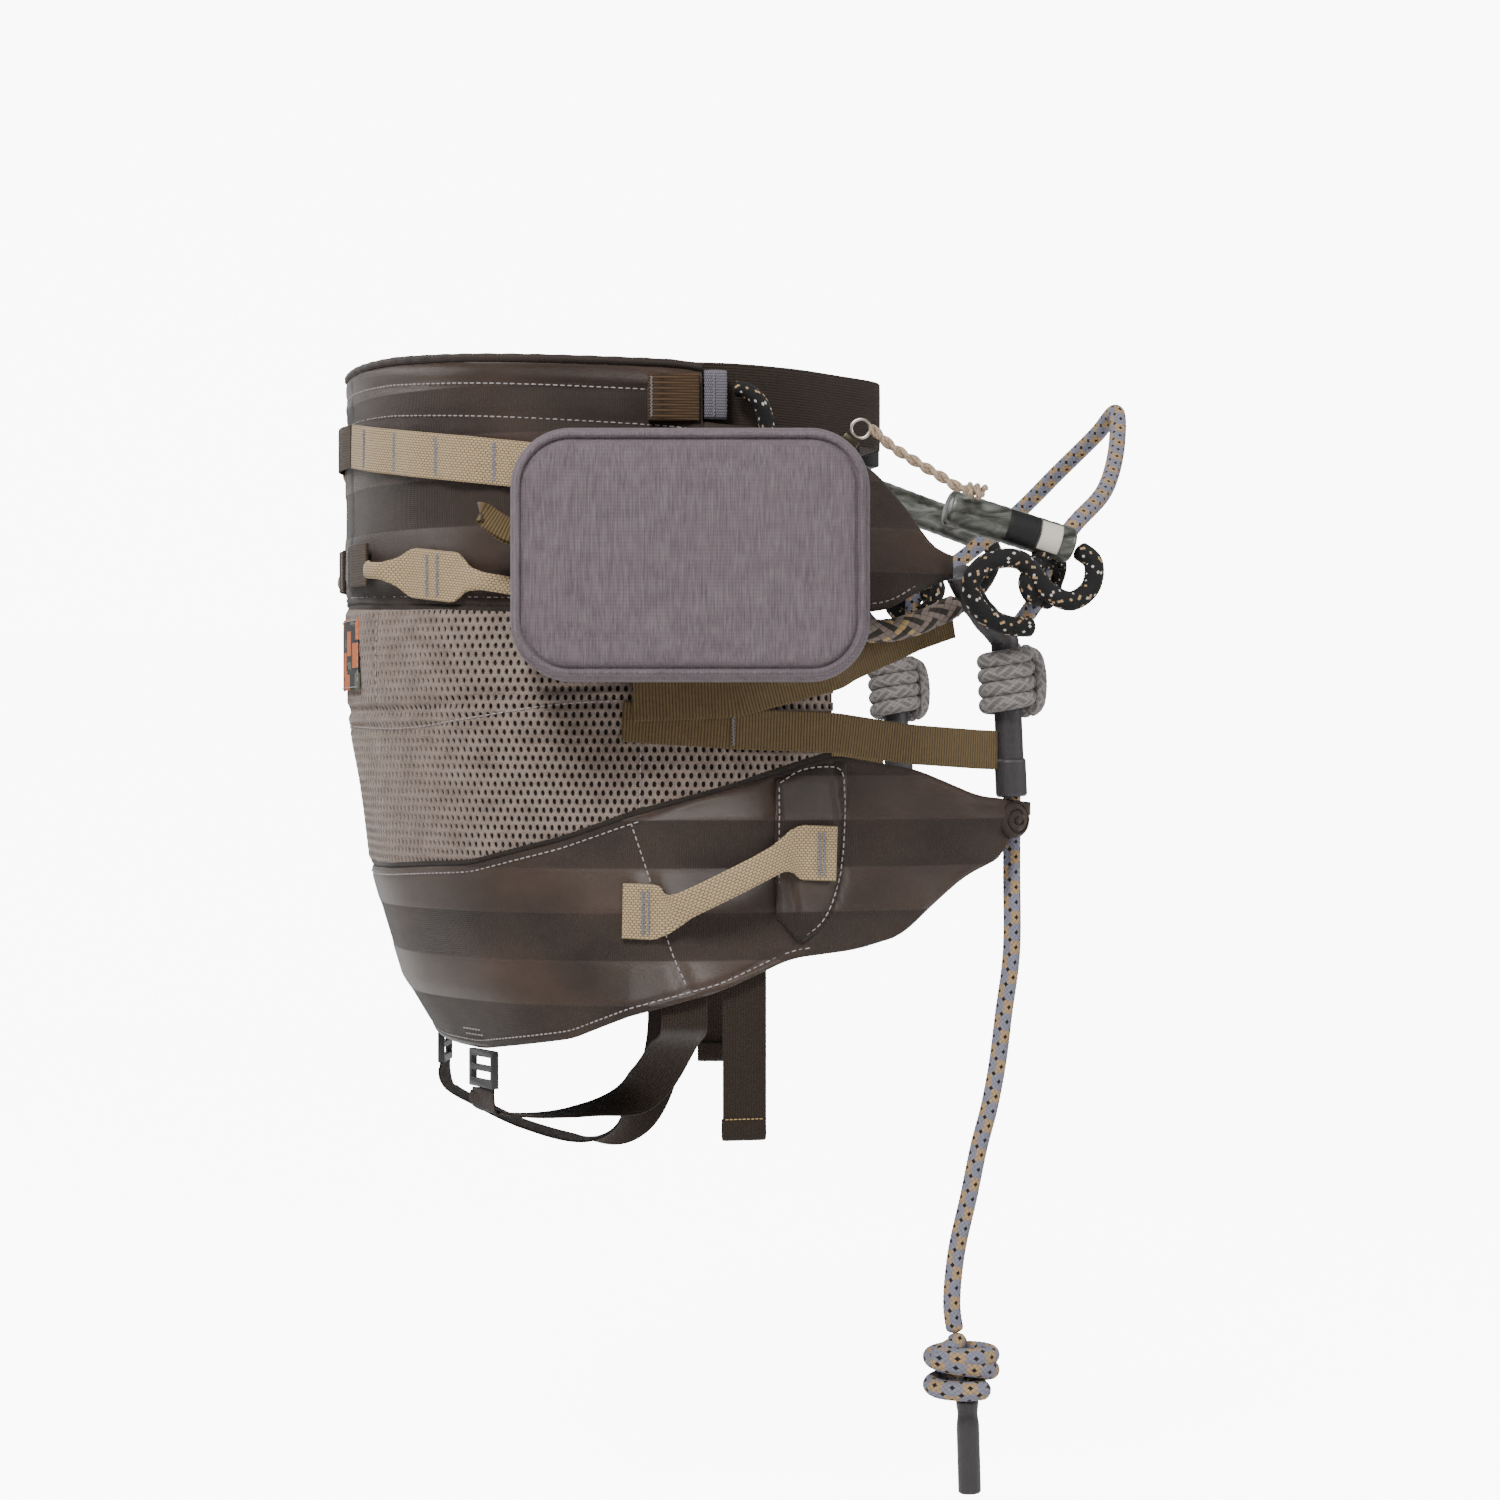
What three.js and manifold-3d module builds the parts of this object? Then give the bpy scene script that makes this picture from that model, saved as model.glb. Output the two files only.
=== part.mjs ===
// Two-panel climbing saddle (sit harness) with its pouch, straps and adjustable rope bridge.
// Millimetres. +X is the wearer's front, +Y the wearer's left, +Z up. The origin is the centre of
// the waist ring at the height of the daisy chain, which is where the wearer's waist carries it.
import * as THREE from "three";
import { mergeVertices } from "three/addons/utils/BufferGeometryUtils.js";
import Module from "manifold-3d";

const wasm = await Module();
wasm.setup();

// ---- Driving dimensions -------------------------------------------------------------------
const BACK_REACH = 150; // origin to the back of the waist ring
const SIDE_REACH = 170; // origin to the side of the hips
const TIP_REACH = 218; // origin to the front tips of the seat panel
const TIP_SPREAD = 120; // centre line to each front tip
const HIP_STEPS = 26; // straight facets round each half of the hips
const GAP = 0.3; // between pieces that are sewn or lie on each other
const PANEL = 5; // padded panels
const WEBBING = 1.6; // thickness of single webbing
const WIDE_WEBBING = 25; // daisy chain and leg straps
const SIDE_STRAP_WIDTH = 22;
const BELT_WIDTH = 38;
const SLEEVE_TUBE = 16; // outer diameter of the bridge loop sheaths
const BRIDGE_ROPE = 10;
const LINEMAN_ROPE = 9;
const LINEMAN_SLEEVE = 13;
const HITCH_CORD = 11;
const EYE_SLEEVE = 21;
const POUCH_WIDTH = 190;
const POUCH_HEIGHT = 134;
const POUCH_BACK_DEPTH = 24;
const POUCH_FRONT_DEPTH = 28;
const POUCH_WALL = 2.5;
const POUCH_CORNER = 32;
const RIGHT = -1;
const LEFT = 1;
const SIDES = [[RIGHT, "right"], [LEFT, "left"]];

// ---- Materials ----------------------------------------------------------------------------
const cloth = (color, roughness = 0.85) => ({ color, roughness, metalness: 0 });
const FINISH = {
  nylon_brown: cloth(0x3a2f28),
  mesh_taupe: cloth(0x7d7066),
  webbing_tan: cloth(0x9a8560),
  webbing_olive: cloth(0x6b5838),
  webbing_grey: cloth(0x6f6a72),
  webbing_brown: cloth(0x4a2f1c),
  pouch_cloth: cloth(0x6b6067),
  rope_bridge: cloth(0x6e7076),
  rope_black: cloth(0x1d1b1a),
  cord_grey: cloth(0x9b9896),
  sheath_black: cloth(0x2a272a, 0.6),
  sleeve_camo: cloth(0x6b7069, 0.35),
  paracord_tan: cloth(0x8b7458),
  buckle_black: cloth(0x161616, 0.45),
  patch_orange: cloth(0xb5502a),
  metal: { color: 0x9a9a98, roughness: 0.35, metalness: 1 },
};

const saddle = new THREE.Group();
saddle.name = "saddle";

function add(name, finish, geometry, parent = saddle) {
  const mesh = new THREE.Mesh(geometry, new THREE.MeshStandardMaterial(FINISH[finish]));
  mesh.name = name;
  parent.add(mesh);
  return mesh;
}

// ---- Geometry helpers ---------------------------------------------------------------------
function signedVolume(position, index) {
  const [a, b, c] = [new THREE.Vector3(), new THREE.Vector3(), new THREE.Vector3()];
  let sum = 0;
  for (let i = 0; i < index.length; i += 3) {
    a.fromArray(position, index[i] * 3);
    b.fromArray(position, index[i + 1] * 3);
    c.fromArray(position, index[i + 2] * 3);
    sum += a.dot(b.cross(c));
  }
  return sum / 6;
}

// Joins rings of points into one closed solid. In each ring, point j faces point K-1-j.
function loft(rings) {
  const K = rings[0].length;
  const position = rings.flat().flatMap((p) => [p.x, p.y, p.z]);
  const index = [];
  for (let i = 0; i + 1 < rings.length; i++)
    for (let j = 0; j < K; j++) {
      const [a, b] = [i * K + j, i * K + ((j + 1) % K)];
      index.push(a, b, b + K, a, b + K, a + K);
    }
  const end = (rings.length - 1) * K;
  for (let j = 0; j + 1 < K / 2; j++) {
    const [a, b, c, d] = [j, j + 1, K - 2 - j, K - 1 - j];
    index.push(a, c, b, a, d, c);
    index.push(end + a, end + b, end + c, end + a, end + c, end + d);
  }
  if (signedVolume(position, index) < 0) index.reverse();
  const geometry = new THREE.BufferGeometry();
  geometry.setAttribute("position", new THREE.Float32BufferAttribute(position, 3));
  geometry.setIndex(index);
  return geometry;
}

const vectors = (points) => points.map(([x, y, z]) => new THREE.Vector3(x, y, z));

// A round cord along hand-chosen points.
function cord(points, diameter, steps, sides = 8) {
  const section = new THREE.Shape(
    new THREE.EllipseCurve(0, 0, diameter / 2, diameter / 2).getPoints(sides).slice(0, sides),
  );
  const extrudePath = new THREE.CatmullRomCurve3(vectors(points));
  return new THREE.ExtrudeGeometry(section, { steps, bevelEnabled: false, extrudePath });
}

// Flat webbing along hand-chosen points; across(u) gives the direction of its width.
function strap(points, width, steps, across, thickness = () => WEBBING) {
  const path = new THREE.CatmullRomCurve3(vectors(points));
  const rings = [];
  for (let i = 0; i <= steps; i++) {
    const u = i / steps;
    const along = path.getTangentAt(u);
    const normal = new THREE.Vector3().crossVectors(along, across(u)).normalize();
    const side = new THREE.Vector3().crossVectors(normal, along).multiplyScalar(width / 2);
    normal.multiplyScalar(thickness(u) / 2);
    const at = path.getPointAt(u);
    rings.push([
      at.clone().sub(side).sub(normal),
      at.clone().add(side).sub(normal),
      at.clone().add(side).add(normal),
      at.clone().sub(side).add(normal),
    ]);
  }
  return loft(rings);
}

function solid(geometry) {
  const bare = geometry.clone();
  bare.deleteAttribute("normal");
  bare.deleteAttribute("uv");
  const merged = mergeVertices(bare, 1e-4);
  return new wasm.Manifold(
    new wasm.Mesh({
      numProp: 3,
      vertProperties: merged.attributes.position.array,
      triVerts: new Uint32Array(merged.index.array),
    }),
  );
}

function geometryOf(manifold) {
  const mesh = manifold.getMesh();
  const geometry = new THREE.BufferGeometry();
  geometry.setAttribute("position", new THREE.BufferAttribute(mesh.vertProperties, 3));
  geometry.setIndex(new THREE.BufferAttribute(mesh.triVerts, 1));
  return geometry;
}

// A box from its lower to its upper corner.
function block(low, high) {
  const size = high.map((h, i) => h - low[i]);
  const centre = high.map((h, i) => (h + low[i]) / 2);
  return new THREE.BoxGeometry(...size).translate(...centre);
}

// ---- The hips: every panel and sewn strap follows this surface ----------------------------
// Half plan of the hips from the centre of the back to the front tip.
const halfPlan = [
  [-BACK_REACH, 0],
  [-0.94 * BACK_REACH, 0.365 * SIDE_REACH],
  [-0.667 * BACK_REACH, 0.765 * SIDE_REACH],
  [-0.133 * BACK_REACH, 0.976 * SIDE_REACH],
  [0.275 * TIP_REACH, SIDE_REACH],
  [0.642 * TIP_REACH, 0.894 * SIDE_REACH],
  [TIP_REACH, TIP_SPREAD],
];
const TAPER_FROM_X = -20; // behind this the seat draws in towards its lower edge
const TAPER = [[-345, 0.58], [-336, 0.615], [-305, 0.754], [-245, 0.885], [-150, 1]];

// Straight-line interpolation in a list of [position, value].
function profile(points) {
  return (at) => {
    const t = Math.abs(at);
    if (t <= points[0][0]) return points[0][1];
    for (let i = 1; i < points.length; i++) {
      const [t0, v0] = points[i - 1];
      const [t1, v1] = points[i];
      if (t <= t1) return v0 + ((v1 - v0) * (t - t0)) / (t1 - t0);
    }
    return points.at(-1)[1];
  };
}

function taper(z) {
  if (z <= TAPER[0][0]) return TAPER[0][1];
  for (let i = 1; i < TAPER.length; i++) {
    const [z0, s0] = TAPER[i - 1];
    const [z1, s1] = TAPER[i];
    if (z <= z1) return s0 + ((s1 - s0) * (z - z0)) / (z1 - z0);
  }
  return 1;
}

const planCurve = new THREE.CatmullRomCurve3([
  ...halfPlan.slice(1).reverse().map(([x, y]) => new THREE.Vector3(x, -y, 0)),
  ...halfPlan.map(([x, y]) => new THREE.Vector3(x, y, 0)),
]);
planCurve.arcLengthDivisions = 1000;
const hipGrid = [];
for (let k = 0; k <= 2 * HIP_STEPS; k++) {
  const at = planCurve.getPointAt(k / (2 * HIP_STEPS));
  const along = planCurve.getTangentAt(k / (2 * HIP_STEPS));
  hipGrid.push({ x: at.x, y: at.y, nx: -along.y, ny: along.x });
}

// t runs from -1 at the right front tip through 0 at the centre of the back to +1 at the left tip.
function onHip(t, z, out) {
  const s = (THREE.MathUtils.clamp(t, -1, 1) + 1) * HIP_STEPS;
  const k = Math.min(Math.floor(s), 2 * HIP_STEPS - 1);
  const f = s - k;
  const mix = (key) => hipGrid[k][key] * (1 - f) + hipGrid[k + 1][key] * f;
  let x = mix("x") + mix("nx") * out;
  if (x < TAPER_FROM_X) x = TAPER_FROM_X + (x - TAPER_FROM_X) * taper(z);
  return new THREE.Vector3(x, mix("y") + mix("ny") * out, z);
}

// A strip of the hip surface between two heights and two offsets, each a function of t.
function band({ from, to, top, bottom, inner, outer, rows = 1, stops = [] }) {
  const fixed = (v) => (typeof v === "function" ? v : () => v);
  const [zTop, zBottom, near, far] = [top, bottom, inner, outer].map(fixed);
  const marks = new Set([from, to]);
  for (let k = -HIP_STEPS; k <= HIP_STEPS; k++) marks.add(k / HIP_STEPS);
  for (const s of stops) marks.add(s).add(-s);
  const stations = [...marks].filter((t) => t >= from && t <= to).sort((a, b) => a - b);
  const apart = stations.filter((t, i) => i === 0 || t - stations[i - 1] > 5e-4);
  apart[apart.length - 1] = to;
  return loft(
    apart.map((t) => {
      const up = [];
      for (let r = 0; r <= rows; r++) up.push(zBottom(t) + ((zTop(t) - zBottom(t)) * r) / rows);
      return [
        ...up.map((z) => onHip(t, z, near(t))),
        ...up.reverse().map((z) => onHip(t, z, far(t))),
      ];
    }),
  );
}

// The same strip on one side of the body, with from < to measured forward from the back.
function sideBand(side, { from, to, ...rest }) {
  return side === LEFT ? band({ from, to, ...rest }) : band({ from: -to, to: -from, ...rest });
}

const stopsOf = (points) => points.map(([t]) => t);

// ---- Padded panels --------------------------------------------------------------------------
const WAIST_FRONT = 0.566; // where the full-height upper half of the waist panel ends
const waistTopLine = [
  [0, 42], [0.17, 42], [0.54, 34], [WAIST_FRONT, 31], [WAIST_FRONT + 0.001, 4],
  [0.667, 0], [0.71, -5], [0.773, -19], [0.83, -46], [0.845, -58], [0.883, -66],
];
const waistBottomLine = [
  [0, -90], [0.336, -95], [0.767, -98], [0.8, -95], [0.827, -87], [0.883, -77],
];
const seatTopLine = [
  [0, -241], [0.1, -240], [0.28, -236], [0.4, -223], [0.49, -209], [0.62, -191],
  [0.72, -176], [0.83, -184], [0.92, -199], [0.955, -200.5], [1, -203],
];
const seatBottomLine = [
  [0, -340], [0.19, -340], [0.39, -330], [0.52, -313], [0.59, -304], [0.67, -287],
  [0.75, -283], [0.81, -276], [0.86, -257], [0.9, -244], [0.96, -233], [0.975, -216], [1, -209],
];
const MESH_FRONT = 0.72;
const WAIST_TIP = 0.883;
const [waistTop, waistBottom] = [profile(waistTopLine), profile(waistBottomLine)];
const [seatTop, seatBottom] = [profile(seatTopLine), profile(seatBottomLine)];
const ON_PANEL = PANEL + GAP;

add("waist_panel", "nylon_brown", band({
  from: -WAIST_TIP, to: WAIST_TIP, top: waistTop, bottom: waistBottom, inner: 0, outer: PANEL,
  stops: [...stopsOf(waistTopLine), ...stopsOf(waistBottomLine)],
}));
add("mesh_panel", "mesh_taupe", band({
  from: -MESH_FRONT, to: MESH_FRONT, inner: 0, outer: PANEL, rows: 3,
  top: (t) => waistBottom(t) - GAP,
  bottom: (t) => seatTop(t) + GAP,
  stops: [...stopsOf(seatTopLine), ...stopsOf(waistBottomLine)],
}));
add("seat_panel", "nylon_brown", band({
  from: -1, to: 1, top: seatTop, bottom: seatBottom, inner: 0, outer: PANEL, rows: 2,
  stops: [...stopsOf(seatTopLine), ...stopsOf(seatBottomLine)],
}));

const BINDING_HEIGHT = 3.5;
add("waist_edge_binding", "nylon_brown", band({
  from: -WAIST_FRONT, to: WAIST_FRONT, inner: -0.8, outer: PANEL + 0.8,
  top: (t) => waistTop(t) + GAP + BINDING_HEIGHT,
  bottom: (t) => waistTop(t) + GAP,
  stops: stopsOf(waistTopLine).filter((t) => t < WAIST_FRONT),
}));

const PATCH_HALF = 0.085;
add("rear_patch", "patch_orange", band({
  from: -PATCH_HALF, to: PATCH_HALF, top: -98, bottom: -139, inner: ON_PANEL, outer: ON_PANEL + 1,
}));

// ---- Daisy chain: webbing sewn to the waist panel by bar tacks, standing off between them ---
const CHAIN_START = 0.055;
const CHAIN_FIRST_TACK = 0.11;
const CHAIN_TACK_PITCH = 0.075;
const CHAIN_END = CHAIN_FIRST_TACK + 6 * CHAIN_TACK_PITCH;
const CHAIN_LIFT = 2.2;
const chainMiddle = profile([[0, 0], [CHAIN_START, 0], [CHAIN_END, -31]]);
const chainLift = (t) => {
  const steps = (Math.abs(t) - CHAIN_FIRST_TACK) / CHAIN_TACK_PITCH;
  const f = Math.abs(steps - Math.round(steps)) * 2;
  return t === 0 || Math.abs(t) < CHAIN_FIRST_TACK ? 0 : CHAIN_LIFT * f;
};
const chainStops = [];
for (let t = CHAIN_FIRST_TACK; t < CHAIN_END; t += CHAIN_TACK_PITCH / 2) chainStops.push(t);
for (const [side, word] of SIDES)
  add(`daisy_chain_${word}`, "webbing_tan", sideBand(side, {
    from: CHAIN_START, to: CHAIN_END,
    top: (t) => chainMiddle(t) + WIDE_WEBBING / 2,
    bottom: (t) => chainMiddle(t) - WIDE_WEBBING / 2,
    inner: (t) => ON_PANEL + chainLift(t),
    outer: (t) => ON_PANEL + chainLift(t) + WEBBING,
    stops: chainStops,
  }));
const TAB_LIFT = profile([[0, 4], [0.03, 3], [CHAIN_START, 0]]);
add("back_webbing_tab", "webbing_brown", band({
  from: -(CHAIN_START - 0.001), to: CHAIN_START - 0.001,
  top: WIDE_WEBBING / 2, bottom: -WIDE_WEBBING / 2,
  inner: (t) => ON_PANEL + TAB_LIFT(t),
  outer: (t) => ON_PANEL + TAB_LIFT(t) + WEBBING,
}));

// ---- Keepers and lineman loop anchors at the front of the waist panel -----------------------
const KEEPER_LENGTH = 0.056;
const KEEPER_BACK = WAIST_FRONT - 0.004 - KEEPER_LENGTH;
const ANCHOR_BACK = WAIST_FRONT + 0.003;
const ANCHOR_FRONT = ANCHOR_BACK + 0.026;
const ANCHOR_THICK = 6;
const [ANCHOR_TOP, ANCHOR_BOTTOM] = [32, 5.5];
for (const [side, word] of SIDES) {
  add(`keeper_${word}`, "webbing_brown", sideBand(side, {
    from: KEEPER_BACK, to: KEEPER_BACK + KEEPER_LENGTH, top: 30, bottom: 4,
    inner: ON_PANEL, outer: ON_PANEL + 2,
  }));
  add(`lineman_anchor_${word}`, "webbing_grey", sideBand(side, {
    from: ANCHOR_BACK, to: ANCHOR_FRONT, top: ANCHOR_TOP, bottom: ANCHOR_BOTTOM,
    inner: 0, outer: ANCHOR_THICK,
  }));
}

// ---- Gear loops: tubular webbing with one flat sewn part, under a brown rear tab ------------
const gearMiddle = profile([[0.06, -69], [0.2, -75], [0.3, -80], [0.36, -85], [0.44, -85], [0.5, -80]]);
const gearHalf = profile([
  [0.06, 4.5], [0.19, 4.5], [0.212, 14], [0.29, 14], [0.305, 4.5], [0.48, 4.5], [0.5, 9], [0.54, 9],
]);
const gearLift = profile([
  [0.06, 0], [0.128, 0], [0.15, 7.5], [0.18, 7.5], [0.2, 1.5], [0.21, 0], [0.295, 0], [0.325, 3], [0.36, 0],
]);
const gearThick = profile([
  [0.06, WEBBING], [0.128, WEBBING], [0.145, 6], [0.185, 6], [0.212, 2], [0.29, 2], [0.31, 6],
  [0.33, 6], [0.36, 2.5],
]);
const gearStops = [0.128, 0.145, 0.15, 0.18, 0.185, 0.2, 0.212, 0.29, 0.305, 0.325, 0.36, 0.44,
  0.48, 0.5];
const GEAR_TAB = { from: 0.03, to: 0.125, top: -57, bottom: -81 };
const gearTabLift = profile([[0.03, 0], [0.055, 0], [0.062, WEBBING + GAP]]);
for (const [side, word] of SIDES) {
  add(`gear_loop_${word}`, "webbing_tan", sideBand(side, {
    from: 0.062, to: 0.54,
    top: (t) => gearMiddle(t) + gearHalf(t),
    bottom: (t) => gearMiddle(t) - gearHalf(t),
    inner: (t) => ON_PANEL + gearLift(t),
    outer: (t) => ON_PANEL + gearLift(t) + gearThick(t),
    stops: gearStops,
  }));
  add(`gear_loop_tab_${word}`, "webbing_brown", sideBand(side, {
    ...GEAR_TAB,
    inner: (t) => ON_PANEL + gearTabLift(t),
    outer: (t) => ON_PANEL + gearTabLift(t) + WEBBING,
    stops: [0.055, 0.062],
  }));
}

// ---- Reinforcing patches and grip handles on the sides of the seat panel --------------------
const SIDE_PATCH_THICK = 1.5;
const [PATCH_BACK, PATCH_FRONT] = [0.648, 0.738];
const patchTopLine = profile([[0.648, -189], [0.7, -181], [0.72, -179], [0.738, -181]]);
const patchBottomLine = profile([[0.648, -262], [0.68, -281], [0.71, -274], [0.738, -234]]);
const handleMiddle = profile([[0.477, -260], [0.527, -261], [0.666, -229], [0.72, -230]]);
const handleHalf = profile([
  [0.477, 15], [0.52, 15], [0.53, 8], [0.662, 8], [0.672, 15], [0.72, 15],
]);
const HANDLE_STAND_OFF = 11;
const handleBase = profile([[0.477, ON_PANEL], [0.63, ON_PANEL],
  [0.64, ON_PANEL + SIDE_PATCH_THICK + GAP], [0.72, ON_PANEL + SIDE_PATCH_THICK + GAP]]);
const handleLift = profile([[0.525, 0], [0.56, HANDLE_STAND_OFF * 0.8], [0.597, HANDLE_STAND_OFF],
  [0.63, HANDLE_STAND_OFF * 0.8], [0.667, 0]]);
const handleThick = profile([[0.52, WEBBING], [0.54, 5], [0.655, 5], [0.672, WEBBING]]);
const handleStops = [0.52, 0.53, 0.54, 0.56, 0.597, 0.63, 0.64, 0.655, 0.662, 0.672];
for (const [side, word] of SIDES) {
  add(`seat_side_patch_${word}`, "nylon_brown", sideBand(side, {
    from: PATCH_BACK, to: PATCH_FRONT, top: patchTopLine, bottom: patchBottomLine,
    inner: ON_PANEL, outer: ON_PANEL + SIDE_PATCH_THICK, stops: [0.68, 0.7, 0.71, 0.72],
  }));
  add(`grip_handle_${word}`, "webbing_tan", sideBand(side, {
    from: 0.477, to: 0.72,
    top: (t) => handleMiddle(t) + handleHalf(t),
    bottom: (t) => handleMiddle(t) - handleHalf(t),
    inner: (t) => handleBase(t) + handleLift(t),
    outer: (t) => handleBase(t) + handleLift(t) + handleThick(t),
    stops: handleStops,
  }));
}

// ---- Bridge loops: rope sheaths that join the waist panel's end to the seat panel's tip ------
const hitchTop = [202, 129.2, -112]; // the sheath is straight from here to its lower end
const sheathFoot = [207, 126, -199.6];
const alongSheath = (f) => hitchTop.map((v, i) => v + (sheathFoot[i] - v) * f);
const sheathPath = (side) =>
  [
    [171.4, 141.4, -74], [181, 134.5, -88], [191, 131, -99.5],
    ...[0, 0.04, 0.3, 0.7, 1].map(alongSheath),
  ].map(([x, y, z]) => [x, side * y, z]);
for (const [side, word] of SIDES)
  add(`bridge_sheath_${word}`, "sheath_black", cord(sheathPath(side), SLEEVE_TUBE, 18, 10));

// Side straps: webbing from the hips to the sheaths. Both start at one sewn overlap.
const lowerStrapMiddle = profile([
  [0.478, -158], [0.6, -162], [0.72, -164], [0.83, -170.5], [0.92, -173], [1, -174],
]);
const HALF_GIRTH = 478.65; // centre of the back to a front tip, along the hips
const SHEATH_AT = 0.9667; // where the lower strap meets the middle of the sheath
const UPPER_SHEATH_AT = 0.9207;
const sheathWall = SLEEVE_TUBE / 2 / HALF_GIRTH;
const lowerStrapOffset = profile([[0.478, ON_PANEL], [0.72, ON_PANEL], [0.8, 2], [1, 0]]);
const upperStrapMiddle = profile([[0.49, -147], [0.6, -145], [0.72, -130], [0.8, -115], [0.92, -97]]);
const upperStrapOffset = profile([
  [0.49, ON_PANEL + WEBBING + GAP], [0.64, ON_PANEL + WEBBING + GAP], [0.722, ON_PANEL],
  [0.745, -3], [0.78, -7], [0.85, -12], [0.9, -11.5],
]);
for (const [side, word] of SIDES) {
  for (const [name, from, to, middle, offset, stops] of [
    ["lower", 0.478, SHEATH_AT - sheathWall, lowerStrapMiddle, lowerStrapOffset, [0.6, 0.72, 0.8, 0.83, 0.92]],
    ["upper", 0.49, UPPER_SHEATH_AT - sheathWall, upperStrapMiddle, upperStrapOffset,
      [0.6, 0.64, 0.722, 0.745, 0.78, 0.8, 0.85]],
  ])
    add(`${name}_side_strap_${word}`, "webbing_olive", sideBand(side, {
      from, to, stops,
      top: (t) => middle(t) + SIDE_STRAP_WIDTH / 2,
      bottom: (t) => middle(t) - SIDE_STRAP_WIDTH / 2,
      inner: offset,
      outer: (t) => offset(t) + WEBBING,
    }));
}

// ---- Braided hitches on the sheaths: four wraps and a bight, sliding along the sheath --------
const HITCH_CLEARANCE = 0.9;
const HITCH_WRAPS = 4;
const HITCH_WRAP_PITCH = 9.6;
const HITCH_RADIUS = 14;
const hitchStart = 4; // from the start of the sheath's straight part to the first wrap
function tubeHitch() {
  const half = (HITCH_WRAPS * HITCH_WRAP_PITCH) / 2;
  const bore = SLEEVE_TUBE / 2 + HITCH_CLEARANCE;
  const outline = [[bore, -half]];
  for (let i = 0; i < HITCH_WRAPS; i++) {
    const low = -half + i * HITCH_WRAP_PITCH;
    outline.push([HITCH_RADIUS - 2, low + 0.01], [HITCH_RADIUS, low + 0.3 * HITCH_WRAP_PITCH]);
    outline.push([HITCH_RADIUS, low + 0.7 * HITCH_WRAP_PITCH]);
  }
  outline.push([HITCH_RADIUS - 2, half], [bore, half], [bore, -half]);
  const wraps = new THREE.LatheGeometry(outline.map(([x, y]) => new THREE.Vector2(x, y)), 16);
  wraps.rotateX(Math.PI / 2);
  const bight = cord(
    [[11, 0, 13], [17, 0, 15], [21, 0, 6], [21, 0, -6], [17, 0, -14], [11, 0, -12]], 8, 10, 8);
  return geometryOf(solid(wraps).add(solid(bight)));
}
for (const [side, word] of SIDES) {
  const [top, foot] = vectors([hitchTop, sheathFoot].map(([x, y, z]) => [x, side * y, z]));
  const down = foot.clone().sub(top).normalize();
  const hitch = add(`tube_hitch_${word}`, "cord_grey", tubeHitch());
  const reach = hitchStart + (HITCH_WRAPS * HITCH_WRAP_PITCH) / 2;
  hitch.position.copy(top).addScaledVector(down, reach);
  hitch.quaternion.setFromUnitVectors(new THREE.Vector3(0, 0, -1), down);
}

// ---- Lineman loops: rope from the waist anchor, then through a mesh sleeve to the sheath -----
const ropeOut = SIDE_REACH + PANEL + LINEMAN_ROPE / 2 + 0.6;
const linemanRope = (side) =>
  [
    [36.5, 174, 22], [42, 176.5, 21.5], [50, ropeOut, 14], [54, ropeOut + 0.4, 0],
    [59, ropeOut + 0.3, -40], [70, ropeOut, -75], [84, 179, -97], [93, 177, -105], [101.4, 174.3, -107.2],
  ].map(([x, y, z]) => [x, side * y, z]);
const linemanSleeve = (side) =>
  [
    [102.6, 173.8, -107.3], [122, 166, -108], [142, 156, -104], [158, 147, -98],
    [171.4, 139.4, -92],
  ].map(([x, y, z]) => [x, side * y, z]);
for (const [side, word] of SIDES) {
  add(`lineman_rope_${word}`, "rope_black", cord(linemanRope(side), LINEMAN_ROPE, 12, 8));
  add(`lineman_sleeve_${word}`, "mesh_taupe", cord(linemanSleeve(side), LINEMAN_SLEEVE, 8, 10));
}

// ---- Rope bridge: one rope in a loop, two friction hitch cords with sleeved sewn eyes --------
const eyeSleeve = {
  right: [[164, -146, -38], [236, -146, -59]],
  left: [[192, 142, -9.5], [262, 142, -34]],
};
const hitchCord = {
  right: [
    [238.8, -146, -60], [248, -148, -68], [246, -150, -82], [234, -152, -90], [221, -151.6, -85],
    [213, -152.5, -76], [204, -155, -68], [192, -157, -67], [180, -157, -72], [174, -157, -84],
    [181, -157, -97], [196, -156, -104], [212, -154, -105],
  ],
  left: [
    [265.2, 142, -35.1], [273, 143, -46], [268, 146, -64], [252, 149, -80], [236, 152, -89],
    [221, 151.2, -85], [213, 152.5, -76], [204, 155, -68], [192, 157, -67], [180, 157, -72],
    [174, 157, -84], [181, 157, -97], [196, 156, -104], [212, 154, -105],
  ],
};
const bridgePath = [
  [211.5, -112.5, -106], [215, -126, -98], [218.5, -139.5, -87], [220, -141.5, -77],
  [229, -131, -63], [247.5, -114, -45], [280, -70, -21], [303, -22, 12], [309, 0, 31],
  [305, 25, 20], [292, 60, 0], [275, 100, -25], [247, 128, -52], [229, 136, -66],
  [220, 141.5, -77], [218.5, 139.5, -87], [214.5, 129, -98], [211.5, 123.5, -106],
];
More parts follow.
